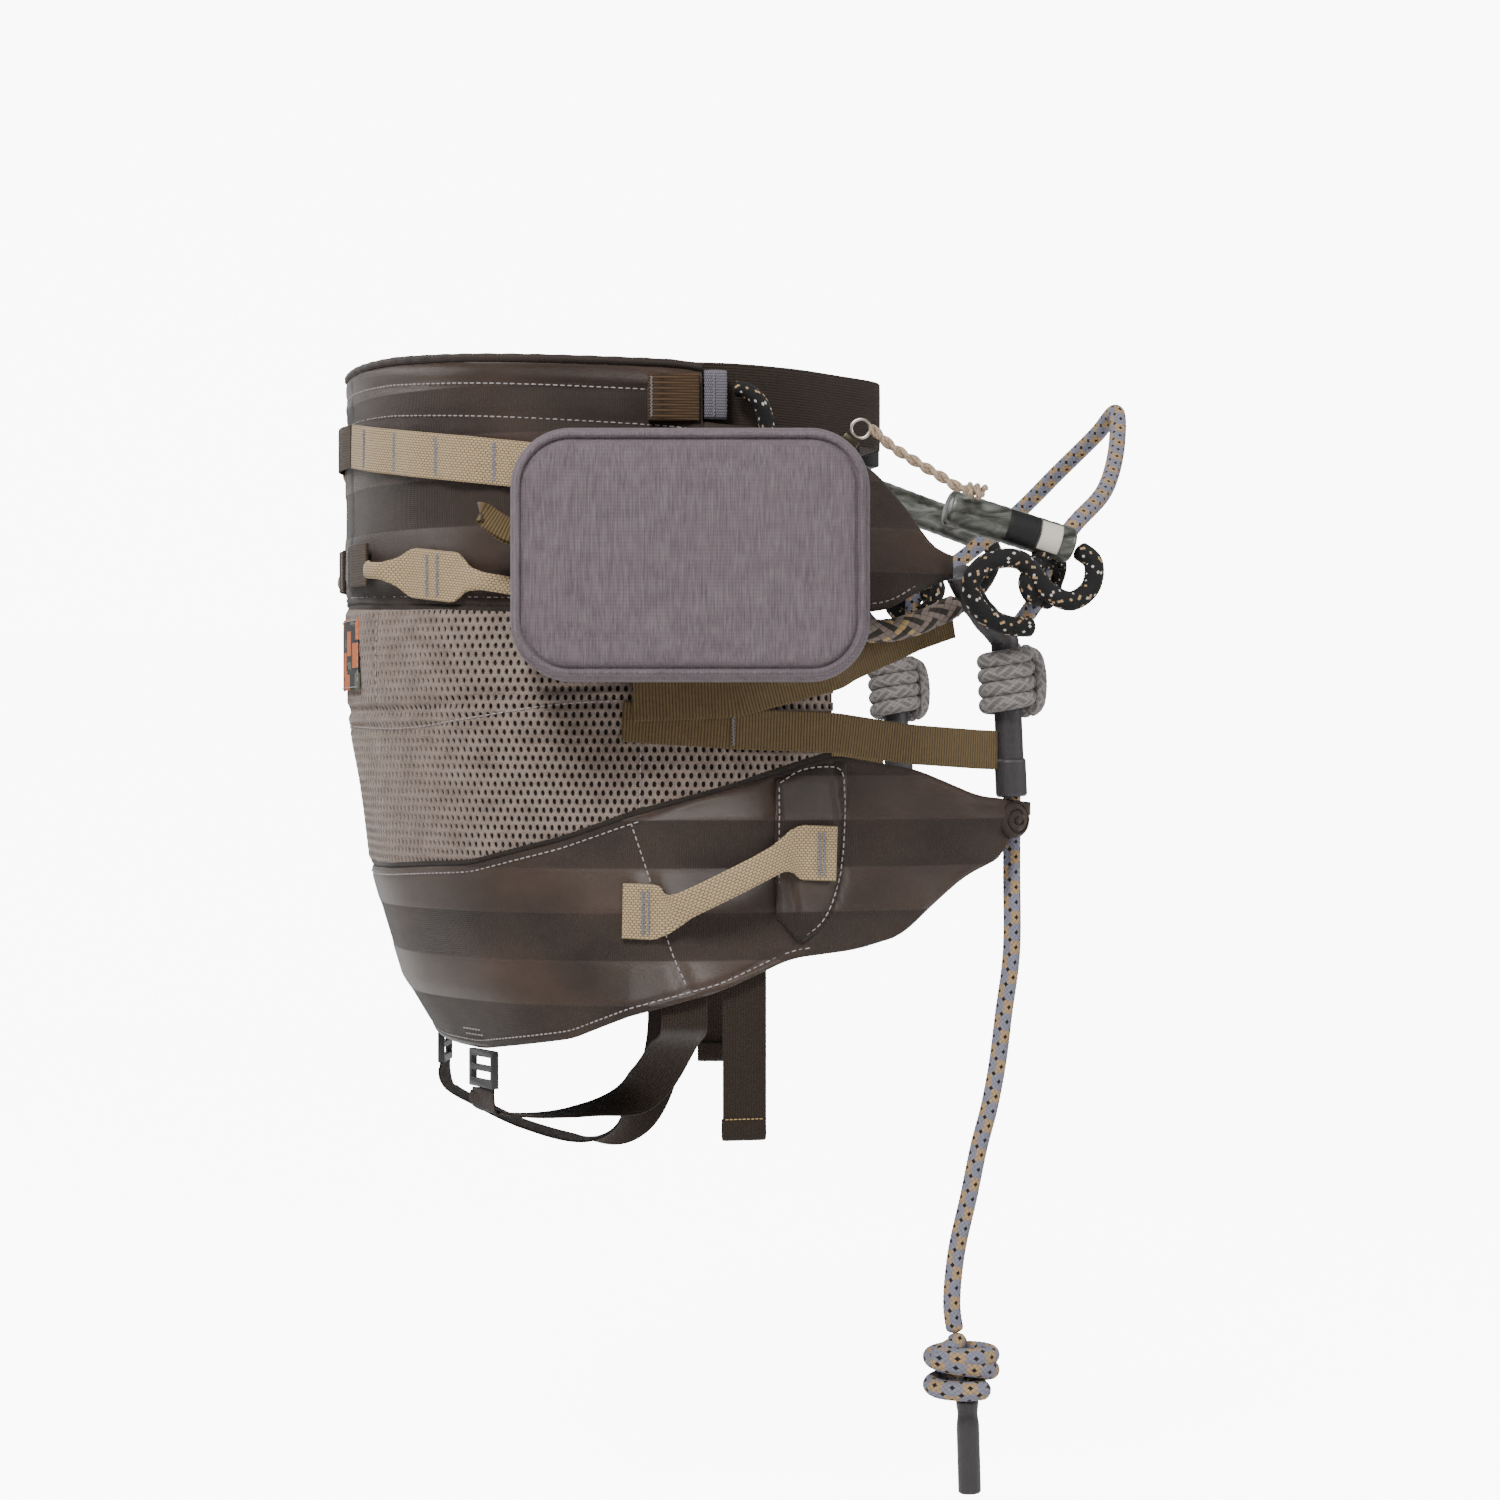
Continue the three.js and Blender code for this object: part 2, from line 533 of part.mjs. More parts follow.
// The bridge turns about the line through its two rounded ends.
function bridgeRope() {
  let rope = solid(cord(bridgePath, BRIDGE_ROPE, 48));
  for (const end of [bridgePath[0], bridgePath.at(-1)])
    rope = rope.add(solid(new THREE.SphereGeometry(BRIDGE_ROPE / 2, 10, 8).translate(...end)));
  return geometryOf(rope);
}
add("bridge_rope", "rope_bridge", bridgeRope());
for (const [, word] of SIDES) {
  add(`eye_sleeve_${word}`, "sleeve_camo", cord(eyeSleeve[word], EYE_SLEEVE, 2, 12));
  add(`hitch_cord_${word}`, "rope_black", cord(hitchCord[word], HITCH_CORD, 30));
}

// The rope's free end hangs from the right sheath to a stopper knot with a sleeved end.
const tailPath = [
  [211.5, -112.2, -111.5], [211.8, -110.8, -125], [212.6, -109.4, -160], [211.8, -110, -200],
  [210.5, -114, -240],
  [210, -115, -289], [205.5, -115, -323], [202, -115, -350], [197, -115, -376], [191, -115, -398],
  [185, -115, -426], [177.5, -115, -459], [175, -115, -488], [177, -115, -503.5],
];
const KNOT = { centre: [180.5, -115, -522.5], size: [47, 40, 37] };
const END_SLEEVE = { diameter: 13, length: 53 };
add("bridge_rope_tail", "rope_bridge", cord(tailPath, BRIDGE_ROPE, 24));
add("stopper_knot", "rope_bridge",
  new THREE.SphereGeometry(0.5, 16, 12).rotateX(Math.PI / 2).scale(...KNOT.size)
    .translate(...KNOT.centre));
add("rope_end_sleeve", "sheath_black",
  new THREE.CylinderGeometry(END_SLEEVE.diameter / 2, END_SLEEVE.diameter / 2,
    END_SLEEVE.length, 12)
    .rotateX(Math.PI / 2)
    .translate(KNOT.centre[0] + 3.5, KNOT.centre[1],
      KNOT.centre[2] - KNOT.size[2] / 2 - 0.5 - END_SLEEVE.length / 2));

// ---- Waist belt with a side-release buckle at the front --------------------------------------
const BELT_FRONT = 139;
const BELT_Z = 16;
const BUCKLE_HALF_HEIGHT = 24;
const BUCKLE_BACK = BELT_FRONT - 2.6;
const BUCKLE_FRONT = BELT_FRONT + 11.5;
const BELT_SLOT = 1.1; // half the slot that the belt runs in
const CAVITY_BACK = BELT_FRONT + 2.9;
const CAVITY_FRONT = BELT_FRONT + 9.1;
const BUCKLE_CLEARANCE = 0.5;
const SOCKET = { from: -16, to: 30, floor: 16 };
const PLUG = { from: -44, to: -20, tongue: 13 };
const PRONG = { length: 28, height: 6, inset: 3 };
const beltPath = (side, end) =>
  [
    [-10, SIDE_REACH - 4.2, 18], [34, SIDE_REACH - 2.5, 18], [72, 157, 17], [106, 130, 16.5],
    [BELT_FRONT - 8, 108, BELT_Z], [BELT_FRONT - 0.4, 90, BELT_Z], [BELT_FRONT, 78, BELT_Z],
    [BELT_FRONT, 50, BELT_Z],
    [BELT_FRONT, end, BELT_Z],
  ].map(([x, y, z]) => [x, side * y, z]);
const upright = () => new THREE.Vector3(0, 0, 1);
const BELT_END = { right: -PLUG.to, left: SOCKET.to - 10 };
for (const [side, word] of SIDES)
  add(`waist_belt_${word}`, "webbing_brown",
    strap(beltPath(side, BELT_END[word]), BELT_WIDTH, 20, upright));
const tall = [BELT_Z - BUCKLE_HALF_HEIGHT, BELT_Z + BUCKLE_HALF_HEIGHT];
const beltSlot = (from, to) =>
  block(
    [BELT_FRONT - BELT_SLOT, from, BELT_Z - BELT_WIDTH / 2 - BUCKLE_CLEARANCE],
    [BELT_FRONT + BELT_SLOT, to, BELT_Z + BELT_WIDTH / 2 + BUCKLE_CLEARANCE],
  );
const socketBody = block([BUCKLE_BACK, SOCKET.from, tall[0]], [BUCKLE_FRONT, SOCKET.to, tall[1]]);
const socketCavity = block(
  [CAVITY_BACK, SOCKET.from - 1, tall[0] - 1], [CAVITY_FRONT, SOCKET.floor, tall[1] + 1]);
add("waist_buckle_socket", "buckle_black", geometryOf(
  solid(socketBody).subtract(solid(socketCavity))
    .subtract(solid(beltSlot(SOCKET.to - 12, SOCKET.to + 1)))));
const tongueX = [CAVITY_BACK + BUCKLE_CLEARANCE, CAVITY_FRONT - BUCKLE_CLEARANCE];
const plugBody = block([BUCKLE_BACK, PLUG.from, tall[0]], [BUCKLE_FRONT, PLUG.to, tall[1]]);
const tongue = block([tongueX[0], PLUG.to - 1, BELT_Z - 6], [tongueX[1], PLUG.tongue, BELT_Z + 6]);
add("waist_buckle_plug", "buckle_black", geometryOf(
  solid(plugBody).add(solid(tongue)).subtract(solid(beltSlot(PLUG.from - 1, PLUG.to + 1)))));
for (const [up, word] of [[1, "upper"], [-1, "lower"]]) {
  const outerEdge = BELT_Z + up * (BUCKLE_HALF_HEIGHT - PRONG.inset);
  const z = [outerEdge, outerEdge - up * PRONG.height].sort((a, b) => a - b);
  add(`waist_buckle_prong_${word}`, "buckle_black",
    block([tongueX[0], PLUG.to + 2 * GAP, z[0]],
      [tongueX[1], PLUG.to + 2 * GAP + PRONG.length, z[1]]));
}

// ---- Leg straps: a ladder-lock under the back of the seat, webbing to its front --------------
const LADDER = { width: 32, height: 21, thickness: 4, bar: 4, slot: 4.6 };
const LADDER_T = 0.185; // where it hangs on the hem
const LADDER_DROP = 0.7;
function ladderLock() {
  const frame = new THREE.Shape();
  const [w, h] = [LADDER.width / 2, LADDER.height];
  frame.moveTo(-w, 0).lineTo(w, 0).lineTo(w, -h).lineTo(-w, -h).closePath();
  const pitch = (h - LADDER.bar) / 2;
  for (const i of [0, 1]) {
    const high = -LADDER.bar - i * pitch + (i ? 0.6 : 0);
    const low = high - LADDER.slot;
    const slot = new THREE.Path();
    slot.moveTo(3 - w, high).lineTo(3 - w, low).lineTo(w - 3, low).lineTo(w - 3, high).closePath();
    frame.holes.push(slot);
  }
  return new THREE.ExtrudeGeometry(frame, { depth: LADDER.thickness, bevelEnabled: false })
    .translate(0, 0, -LADDER.thickness / 2)
    .rotateX(Math.PI / 2);
}
// Hand-chosen route under the thigh, from the buckle's foot to the inside of the hem.
const legStrapRoute = {
  right: [[-86, -82, -374], [-66, -75, -379], [-34, -72, -378], [0, -86, -366], [14, -118, -338]],
  left: [
    [-86, 82, -376], [-70, 77, -386], [-40, 66, -400], [-4, 62, -408], [28, 80, -398],
    [50, 112, -368], [60, 146, -334],
  ],
};
const LEG_STRAP_T = { right: 0.548, left: 0.648 };
const LEG_STRAP_LAP = 18; // how far it runs up the inside of the seat panel
const INSIDE = -(3 * GAP + WEBBING / 2);
const alongHip = (t, side, z, out) =>
  onHip(side * (t + 0.02), z, out).sub(onHip(side * (t - 0.02), z, out)).setZ(0).normalize();
for (const [side, word] of SIDES) {
  const hemZ = seatBottom(LADDER_T);
  const hem = onHip(side * LADDER_T, hemZ, PANEL / 2);
  const across = alongHip(LADDER_T, side, hemZ, PANEL / 2);
  const buckle = add(`leg_buckle_${word}`, "buckle_black", ladderLock());
  buckle.position.set(hem.x, hem.y, hem.z - LADDER_DROP);
  buckle.rotation.z = Math.atan2(across.y, across.x);
  const foot = hem.z - LADDER_DROP - LADDER.height - 0.8;
  const t = LEG_STRAP_T[word];
  const lap = [-14, -4, 6, LEG_STRAP_LAP].map((up) =>
    onHip(side * t, seatBottom(t) + up, INSIDE - 0.15 * Math.max(6 - up, 0)));
  const last = alongHip(t, side, seatBottom(t), INSIDE);
  const points = [
    [hem.x, hem.y, foot], [hem.x, hem.y, foot - 5], ...legStrapRoute[word],
    ...lap.map((p) => p.toArray()),
  ];
  add(`leg_strap_${word}`, "webbing_brown",
    strap(points, WIDE_WEBBING, 26, (u) => across.clone().lerp(last, u)));
}

// Free strap ends that hang from the inside of the seat's hem, folded at the bottom.
const TAIL = { drop: 96, fold: 12, foldThick: 4.4, lap: 8, t: { right: 0.618, left: 0.728 } };
for (const [side, word] of SIDES) {
  const t = TAIL.t[word];
  const top = seatBottom(t) + TAIL.lap;
  const fold = top - TAIL.drop + TAIL.fold;
  const across = alongHip(t, side, top, INSIDE).multiplyScalar(WIDE_WEBBING / 2);
  const outer = onHip(side * t, top, -2 * GAP);
  const inward = onHip(side * t, top, -1).sub(onHip(side * t, top, 0));
  const rings = [
    [top, WEBBING], [fold, WEBBING], [fold - 0.5, TAIL.foldThick], [top - TAIL.drop, TAIL.foldThick],
  ].map(([z, thick]) => {
    const face = outer.clone().setZ(z);
    const back = face.clone().addScaledVector(inward, thick);
    return [
      face.clone().sub(across), face.clone().add(across),
      back.clone().add(across), back.clone().sub(across),
    ];
  });
  add(`strap_tail_${word}`, "webbing_brown", loft(rings));
}

// ---- Pouch: a zipped clamshell that hangs on the right side -----------------------------------
const POUCH_STAND_OFF = 8.8; // panel to the pouch's back, at its middle
const pouch = new THREE.Group();
pouch.position.set(11.3, -(SIDE_REACH + PANEL + POUCH_STAND_OFF), -70.4);
pouch.rotation.z = THREE.MathUtils.degToRad(-12);
saddle.add(pouch);
function roundedBox(width, height, corner, yFrom, yTo) {
  const [w, h] = [width / 2 - corner, height / 2 - corner];
  const outline = new THREE.Shape();
  outline.absarc(w, h, corner, 0, Math.PI / 2);
  outline.absarc(-w, h, corner, Math.PI / 2, Math.PI);
  outline.absarc(-w, -h, corner, Math.PI, 1.5 * Math.PI);
  outline.absarc(w, -h, corner, 1.5 * Math.PI, 2 * Math.PI);
  return new THREE.ExtrudeGeometry(outline, {
    depth: yTo - yFrom, bevelEnabled: false, curveSegments: 6,
  }).rotateX(Math.PI / 2).translate(0, yTo, 0);
}
function pouchHalf(outerFrom, outerTo, innerFrom, innerTo) {
  const outer = roundedBox(POUCH_WIDTH, POUCH_HEIGHT, POUCH_CORNER, outerFrom, outerTo);
  const inner = roundedBox(POUCH_WIDTH - 2 * POUCH_WALL, POUCH_HEIGHT - 2 * POUCH_WALL,
    POUCH_CORNER - POUCH_WALL, innerFrom, innerTo);
  return geometryOf(solid(outer).subtract(solid(inner)));
}
const SEAM = -POUCH_BACK_DEPTH;
const POUCH_FACE = SEAM - GAP - POUCH_FRONT_DEPTH;
add("pouch_body", "pouch_cloth", pouchHalf(SEAM, 0, SEAM - 1, -POUCH_WALL), pouch);
add("pouch_front", "pouch_cloth",
  pouchHalf(POUCH_FACE, SEAM - GAP, POUCH_FACE + POUCH_WALL, SEAM - GAP + 1), pouch);

// Zipper slider on the corner of its track, with a ring and a doubled cord as its pull.
const zip = new THREE.Group();
zip.position.set(POUCH_WIDTH / 2 - POUCH_CORNER, SEAM, POUCH_HEIGHT / 2 - POUCH_CORNER);
zip.rotation.y = THREE.MathUtils.degToRad(-50);
pouch.add(zip);
const SLIDER = { length: 9, width: 8, height: 3.4 };
const sliderFoot = POUCH_CORNER + 0.4;
add("zipper_slider", "metal", block(
  [sliderFoot, -SLIDER.width / 2, -SLIDER.length / 2],
  [sliderFoot + SLIDER.height, SLIDER.width / 2, SLIDER.length / 2]), zip);
const PULL_RING = 5;
const ringCentre = new THREE.Vector3(sliderFoot + SLIDER.height + 0.8 + PULL_RING + 0.9, 0, 0);
add("zipper_pull_ring", "metal",
  new THREE.TorusGeometry(PULL_RING, 0.9, 6, 16).rotateX(Math.PI / 2)
    .translate(ringCentre.x, 0, 0), zip);
const ringInPouch = ringCentre.clone()
  .applyEuler(new THREE.Euler(0, zip.rotation.y, 0)).add(zip.position);
const pullCordPath = [
  [PULL_RING + 2.7, 0, -1.4], [16, 0, -9], [30, 0, -18], [42, 0, -25], [52, 0, -31], [66, 0, -34],
].map(([x, y, z]) => [ringInPouch.x + x, ringInPouch.y + y, ringInPouch.z + z]);
add("zipper_pull_cord", "paracord_tan", cord(pullCordPath, 6, 14, 8), pouch);

const PULL_LOOP = { length: 30, width: 18, thick: 3 };
add("pouch_side_loop", "webbing_olive",
  block([-PULL_LOOP.width - GAP, -PULL_LOOP.thick / 2, -PULL_LOOP.length / 2],
    [-GAP, PULL_LOOP.thick / 2, PULL_LOOP.length / 2])
    .translate(-POUCH_WIDTH / 2, SEAM + 8, 15), pouch);

// Hangers: two webbing straps sewn to the pouch's back, which hook over the waist panel's webbing.
const HANGER = { width: 24, thick: 2.4, low: -40, high: 50 };
for (const [word, x] of [["rear", -48], ["front", 8]])
  add(`pouch_hanger_${word}`, "webbing_grey",
    block([x - HANGER.width / 2, GAP, HANGER.low],
      [x + HANGER.width / 2, GAP + HANGER.thick, HANGER.high]), pouch);

export default saddle;
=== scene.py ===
import math

import bpy
import numpy as np
from mathutils import Matrix, Vector


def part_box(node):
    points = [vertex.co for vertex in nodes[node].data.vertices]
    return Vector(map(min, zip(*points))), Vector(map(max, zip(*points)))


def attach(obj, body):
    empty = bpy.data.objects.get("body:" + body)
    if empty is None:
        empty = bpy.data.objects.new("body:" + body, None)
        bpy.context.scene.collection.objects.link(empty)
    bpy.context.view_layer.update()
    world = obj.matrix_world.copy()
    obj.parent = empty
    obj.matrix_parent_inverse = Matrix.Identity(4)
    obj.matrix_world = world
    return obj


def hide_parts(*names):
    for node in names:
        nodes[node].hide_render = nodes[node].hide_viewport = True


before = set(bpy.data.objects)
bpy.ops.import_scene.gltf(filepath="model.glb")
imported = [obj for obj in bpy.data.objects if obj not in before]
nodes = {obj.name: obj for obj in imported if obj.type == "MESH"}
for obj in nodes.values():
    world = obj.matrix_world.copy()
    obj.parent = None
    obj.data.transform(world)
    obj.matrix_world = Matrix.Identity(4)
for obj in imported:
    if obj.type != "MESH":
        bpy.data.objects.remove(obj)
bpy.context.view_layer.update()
SIDES = ((-1, "right"), (1, "left"))
MM = 0.001

# ---- Setting: camera, pale backdrop and soft studio light -----------------------------------
# The harness hangs as if worn, so the backdrop only passes below and behind it. A key light from
# above on the right side does most of the lighting, with weaker lights in front and behind.
bpy.ops.object.camera_add(
    location=(-0.3538, -2.0531, -0.1734), rotation=(math.radians(90), 0, math.radians(-12))
)
camera = bpy.context.object
camera.data.lens = 85
bpy.context.scene.camera = camera


def node(tree, kind, *inputs, **settings):
    """One shader node; an input's value is a number, a colour or another node's socket."""
    made = tree.nodes.new("ShaderNode" + kind)
    for key, value in settings.items():
        setattr(made, key, value)
    for key, value in inputs:
        if isinstance(value, bpy.types.NodeSocket):
            tree.links.new(value, made.inputs[key])
        else:
            made.inputs[key].default_value = value
    return made


def sums(tree, operation, *values):
    """The result of one Math node."""
    return node(tree, "Math", *enumerate(values), operation=operation).outputs[0]


def finish(name, colour, roughness, sheen=0.0, metallic=0.0, coat=0.0):
    """A material with its plain values set; colour and bump nodes are added by the piece."""
    material = bpy.data.materials.new(name)
    material.use_nodes = True
    shader = material.node_tree.nodes["Principled BSDF"]
    shader.inputs["Base Color"].default_value = (*colour, 1)
    shader.inputs["Roughness"].default_value = roughness
    shader.inputs["Metallic"].default_value = metallic
    shader.inputs["Sheen Weight"].default_value = sheen * 0.3
    shader.inputs["Specular IOR Level"].default_value = 0.5 if metallic or roughness < 0.5 else 0.25
    shader.inputs["Sheen Roughness"].default_value = 0.4
    shader.inputs["Coat Weight"].default_value = coat
    return material, material.node_tree, shader


def raised(tree, shader, height, strength, distance):
    """A height pattern that stands out as relief, distance being its full depth in metres."""
    bump = node(tree, "Bump", ("Height", height), ("Strength", strength), ("Distance", distance))
    tree.links.new(bump.outputs[0], shader.inputs["Normal"])


FLOOR = -0.62
backdrop_line = [(-2.2, FLOOR), (1.6, FLOOR), (2.3, FLOOR + 0.12), (2.7, FLOOR + 0.6), (2.8, 3.0)]
bpy.ops.object.select_all(action="DESELECT")
bpy.ops.mesh.primitive_plane_add(size=1)
backdrop = bpy.context.object
backdrop.name = "backdrop"
backdrop.data.clear_geometry()
backdrop.data.from_pydata(
    [(x, y, z) for y, z in backdrop_line for x in (-4, 4)],
    [],
    [(2 * i, 2 * i + 1, 2 * i + 3, 2 * i + 2) for i in range(len(backdrop_line) - 1)],
)
paper, tree, shader = finish("backdrop_paper", (0.93, 0.93, 0.93), 0.9)
grain = node(tree, "TexNoise", ("Scale", 300.0))
bump = node(tree, "Bump", ("Height", grain.outputs[0]), ("Strength", 0.02))
tree.links.new(bump.outputs[0], shader.inputs["Normal"])
shader.inputs["Emission Color"].default_value = (1, 1, 1, 1)
seen = node(tree, "LightPath")
glow = node(tree, "MapRange", (0, seen.outputs["Is Camera Ray"]), (3, 0.15), (4, 9.0))
tree.links.new(glow.outputs[0], shader.inputs["Emission Strength"])
backdrop.data.materials.append(paper)

world = bpy.data.worlds.new("studio")
bpy.context.scene.world = world
world.use_nodes = True
world.node_tree.nodes["Background"].inputs[0].default_value = (1, 1, 1, 1)
seen = node(world.node_tree, "LightPath")
glow = node(world.node_tree, "MapRange", (0, seen.outputs["Is Camera Ray"]), (3, 0.2), (4, 9.0))
world.node_tree.links.new(glow.outputs[0], world.node_tree.nodes["Background"].inputs[1])
MIDDLE = Vector((0.02, 0, -0.15))
for name, place, size, power in (
    ("key_light", (-0.9, -1.6, 1.5), 0.6, 70),
    ("front_light", (1.7, -0.9, 0.5), 0.8, 16),
    ("rim_light", (-1.2, 1.2, 1.2), 1.0, 22),
):
    bpy.ops.object.light_add(type="AREA", location=place)
    light = bpy.context.object
    light.name = name
    light.data.size = size
    light.data.energy = power
    light.rotation_euler = (MIDDLE - Vector(place)).to_track_quat("-Z", "Y").to_euler()


# ---- Rope bridge: 10 mm kernmantle rope that joins the two hip loops -------------------------
# Grey and black-and-gold strands cross in the braid. Both ends go into the hip loops, where
# the rope turns, and it is drawn through the hitch cords' eyes.
def smooth_route(points, step):
    """Points about a step apart on one smooth curve through the chosen ones."""
    p = np.array(points, float)
    p = np.vstack([2 * p[0] - p[1], p, 2 * p[-1] - p[-2]])
    gap = np.sqrt(np.linalg.norm(np.diff(p, axis=0), axis=1))
    t = np.linspace(0, 1, 40, endpoint=False)[:, None]
    line = []
    for i in range(1, len(p) - 2):
        before, here, after = gap[i - 1], gap[i], gap[i + 1]
        chord, back, ahead = p[i + 1] - p[i], p[i] - p[i - 1], p[i + 2] - p[i + 1]
        leave = (back / before - (p[i + 1] - p[i - 1]) / (before + here) + chord / here) * here
        reach = (chord / here - (p[i + 2] - p[i]) / (here + after) + ahead / after) * here
        line.append(
            p[i] + leave * t + (3 * chord - 2 * leave - reach) * t**2 + (leave + reach - 2 * chord) * t**3
        )
    line = np.vstack([*line, p[-2:-1]])
    run = np.concatenate([[0], np.cumsum(np.linalg.norm(np.diff(line, axis=0), axis=1))])
    at = np.linspace(0, run[-1], max(2, round(run[-1] / step)) + 1)
    return np.column_stack([np.interp(at, run, line[:, k]) for k in range(3)])


def unit(v):
    return v / np.linalg.norm(v, axis=-1, keepdims=True)


def length_along(route):
    return np.concatenate([[0], np.cumsum(np.linalg.norm(np.diff(route, axis=0), axis=1))])


def mesh_piece(name, points, faces, material, uv=None):
    """A smooth object in the scene, with a UV for each corner of each face where it is given."""
    mesh = bpy.data.meshes.new(name)
    mesh.from_pydata(points.tolist(), [], faces)
    if uv is not None:
        mesh.uv_layers.new(name="UVMap").data.foreach_set("uv", uv.reshape(-1).astype(np.float32))
    mesh.polygons.foreach_set("use_smooth", np.ones(len(faces), bool))
    piece = bpy.data.objects.new(name, mesh)
    bpy.context.scene.collection.objects.link(piece)
    mesh.materials.append(material)
    return piece


def loft(name, rings, along, across, material, body, cad=()):
    """A closed mesh from rings of points, with UV (along, across) in metres, riding on a body."""
    n, m = rings.shape[:2]
    i, j = np.meshgrid(np.arange(n - 1), np.arange(m), indexing="ij")
    right = (j + 1) % m
    faces = np.stack([i * m + j, i * m + right, (i + 1) * m + right, (i + 1) * m + j], -1)
    faces = faces.reshape(-1, 4)
    corners = np.stack([i, i, i + 1, i + 1], -1).reshape(-1, 4)
    turns = np.stack([j, j + 1, j + 1, j], -1).reshape(-1, 4)
    k = np.arange(m // 2 - 1)
    start = np.stack([k, m - 1 - k, m - 2 - k, k + 1], -1)
    end = start[:, ::-1] + (n - 1) * m
    corners = np.vstack([corners, np.zeros_like(start), np.full_like(end, n - 1)])
    turns = np.vstack([turns, start, start[:, ::-1]])
    faces = np.vstack([faces, start, end])
    points = rings.reshape(-1, 3)
    a, b, c, d = (points[faces[:, q]] for q in range(4))
    volume = np.einsum("ij,ij->", a, np.cross(b, c)) + np.einsum("ij,ij->", a, np.cross(c, d))
    if volume < 0:
        faces, corners, turns = faces[:, ::-1], corners[:, ::-1], turns[:, ::-1]
    across = np.broadcast_to(across, (n, m + 1))
    uv = np.stack([np.asarray(along)[corners], across[corners, turns]], -1)
    piece = mesh_piece(name, points, faces.tolist(), material, uv)
    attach(piece, body)
    if cad:
        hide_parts(*cad)
    return piece


def round_the_route(route, sides, start=(0.0, 0.0, 1.0)):
    """For each point of a route, unit vectors that point out from it all the way round."""
    ahead = unit(np.gradient(route, axis=0))
    out = np.array(start) + 0.01
    rows = []
    for direction in ahead:
        out = unit(out - direction * (out @ direction))
        rows.append((out, np.cross(direction, out)))
    u, v = (np.array([row[k] for row in rows])[:, None, :] for k in (0, 1))
    angle = np.linspace(0, 2 * np.pi, sides, endpoint=False)[None, :, None]
    return u * np.cos(angle) + v * np.sin(angle), ahead


def braided_rope(name, route, diameter, braid, material, body, cad, start=(0, 0, 1)):
    """A tube whose strands stand out where they cross over. braid is (strands one way, lay)."""
    strands, lay = braid
    sides = 4 * strands
    out, _ = round_the_route(route, sides, start)
    run = length_along(route)
    turn = np.arange(sides)[None, :] / sides
    one, other = strands * (turn + run[:, None] / lay), strands * (turn - run[:, None] / lay)
    over = (np.floor(one + 1e-6) + np.floor(other + 1e-6)) % 2 < 1
    width = np.where(over, one % 1, other % 1)
    length = np.where(over, other % 1, one % 1)
    crown = np.sqrt(np.clip(1 - np.abs(2 * width - 1) ** 3, 0, 1)) * (0.55 + 0.45 * np.sin(np.pi * length))
    radius = diameter / 2 * (0.9 + 0.12 * crown)
    closing = np.clip(np.minimum(run, run[-1] - run) / (0.3 * diameter), 0.02, 1)
    radius = radius * np.sqrt(1 - (1 - closing[:, None]) ** 2)
    rings = route[:, None, :] + out * radius[..., None]
    turns = np.arange(sides + 1) / sides
    return loft(name, rings, run, turns, material, body, cad)


def colours_along(tree, value, stops, kind="LINEAR"):
    """Colours picked by a value from 0 to 1, as (position, colour) stops in order."""
    ramp = node(tree, "ValToRGB", (0, value))
    ramp.color_ramp.interpolation = kind
    steps = ramp.color_ramp.elements
    for step, (at, colour) in ((steps[0], stops[0]), (steps[-1], stops[-1])):
        step.position, step.color = at, (*colour, 1)
    for at, colour in stops[1:-1]:
        steps.new(at).color = (*colour, 1)
    return ramp.outputs[0]


def weighed(tree, *shares):
    """The sum of values, each with its weight."""
    parts = [value if weight == 1 else sums(tree, "MULTIPLY", value, weight) for value, weight in shares]
    total = parts[0]
    for part in parts[1:]:
        total = sums(tree, "ADD", total, part)
    return total


def waves(tree, value, pitch):
    """A sine along a value, with one full wave for each pitch."""
    return sums(tree, "SINE", sums(tree, "MULTIPLY", value, 2 * math.pi / pitch))


def strand_colour(tree, index, strands, order, palette):
    """Each strand of one direction in the colour that the order gives it."""
    which = sums(tree, "DIVIDE", index, float(strands))
    stops = [(k / len(order), palette[colour]) for k, colour in enumerate(order)]
    return colours_along(tree, sums(tree, "ADD", which, 0.5 / strands), stops, "CONSTANT")


def fleck_colour(tree, one, other, _, palette):
    """Most crossings in the first colour, and single ones at random in the second and third."""
    cell = node(tree, "CombineXYZ", (0, one), (1, other), (2, 0.5))
    pick = node(tree, "TexWhiteNoise", ("Vector", cell.outputs[0]))
    stops = list(zip((0, 0.87, 0.94), palette))
    return colours_along(tree, pick.outputs["Value"], stops, "CONSTANT")


def patch_colour(tree, one, other, strands, palette):
    """Patches by turns in the first and third colours, dotted and edged in the second."""
    around = waves(tree, sums(tree, "ADD", one, other), strands)
    along = waves(tree, sums(tree, "SUBTRACT", one, other), strands)
    patch = sums(tree, "MULTIPLY", around, along)
    gold = sums(tree, "LESS_THAN", patch, -0.05)
    edge = sums(tree, "LESS_THAN", sums(tree, "ABSOLUTE", sums(tree, "ADD", patch, 0.1)), 0.09)
    thirds = [sums(tree, "FLOORED_MODULO", index, 3.0) for index in (one, other)]
    dots = sums(tree, "LESS_THAN", sums(tree, "ADD", *thirds), 0.5)
    colour = (*palette[0], 1)
    for share, over in ((gold, palette[2]), (sums(tree, "MAXIMUM", edge, dots), palette[1])):
        mix = node(tree, "Mix", ("Factor", share), ("A", colour), ("B", (*over, 1)), data_type="RGBA")
        colour = mix.outputs["Result"]
    return colour


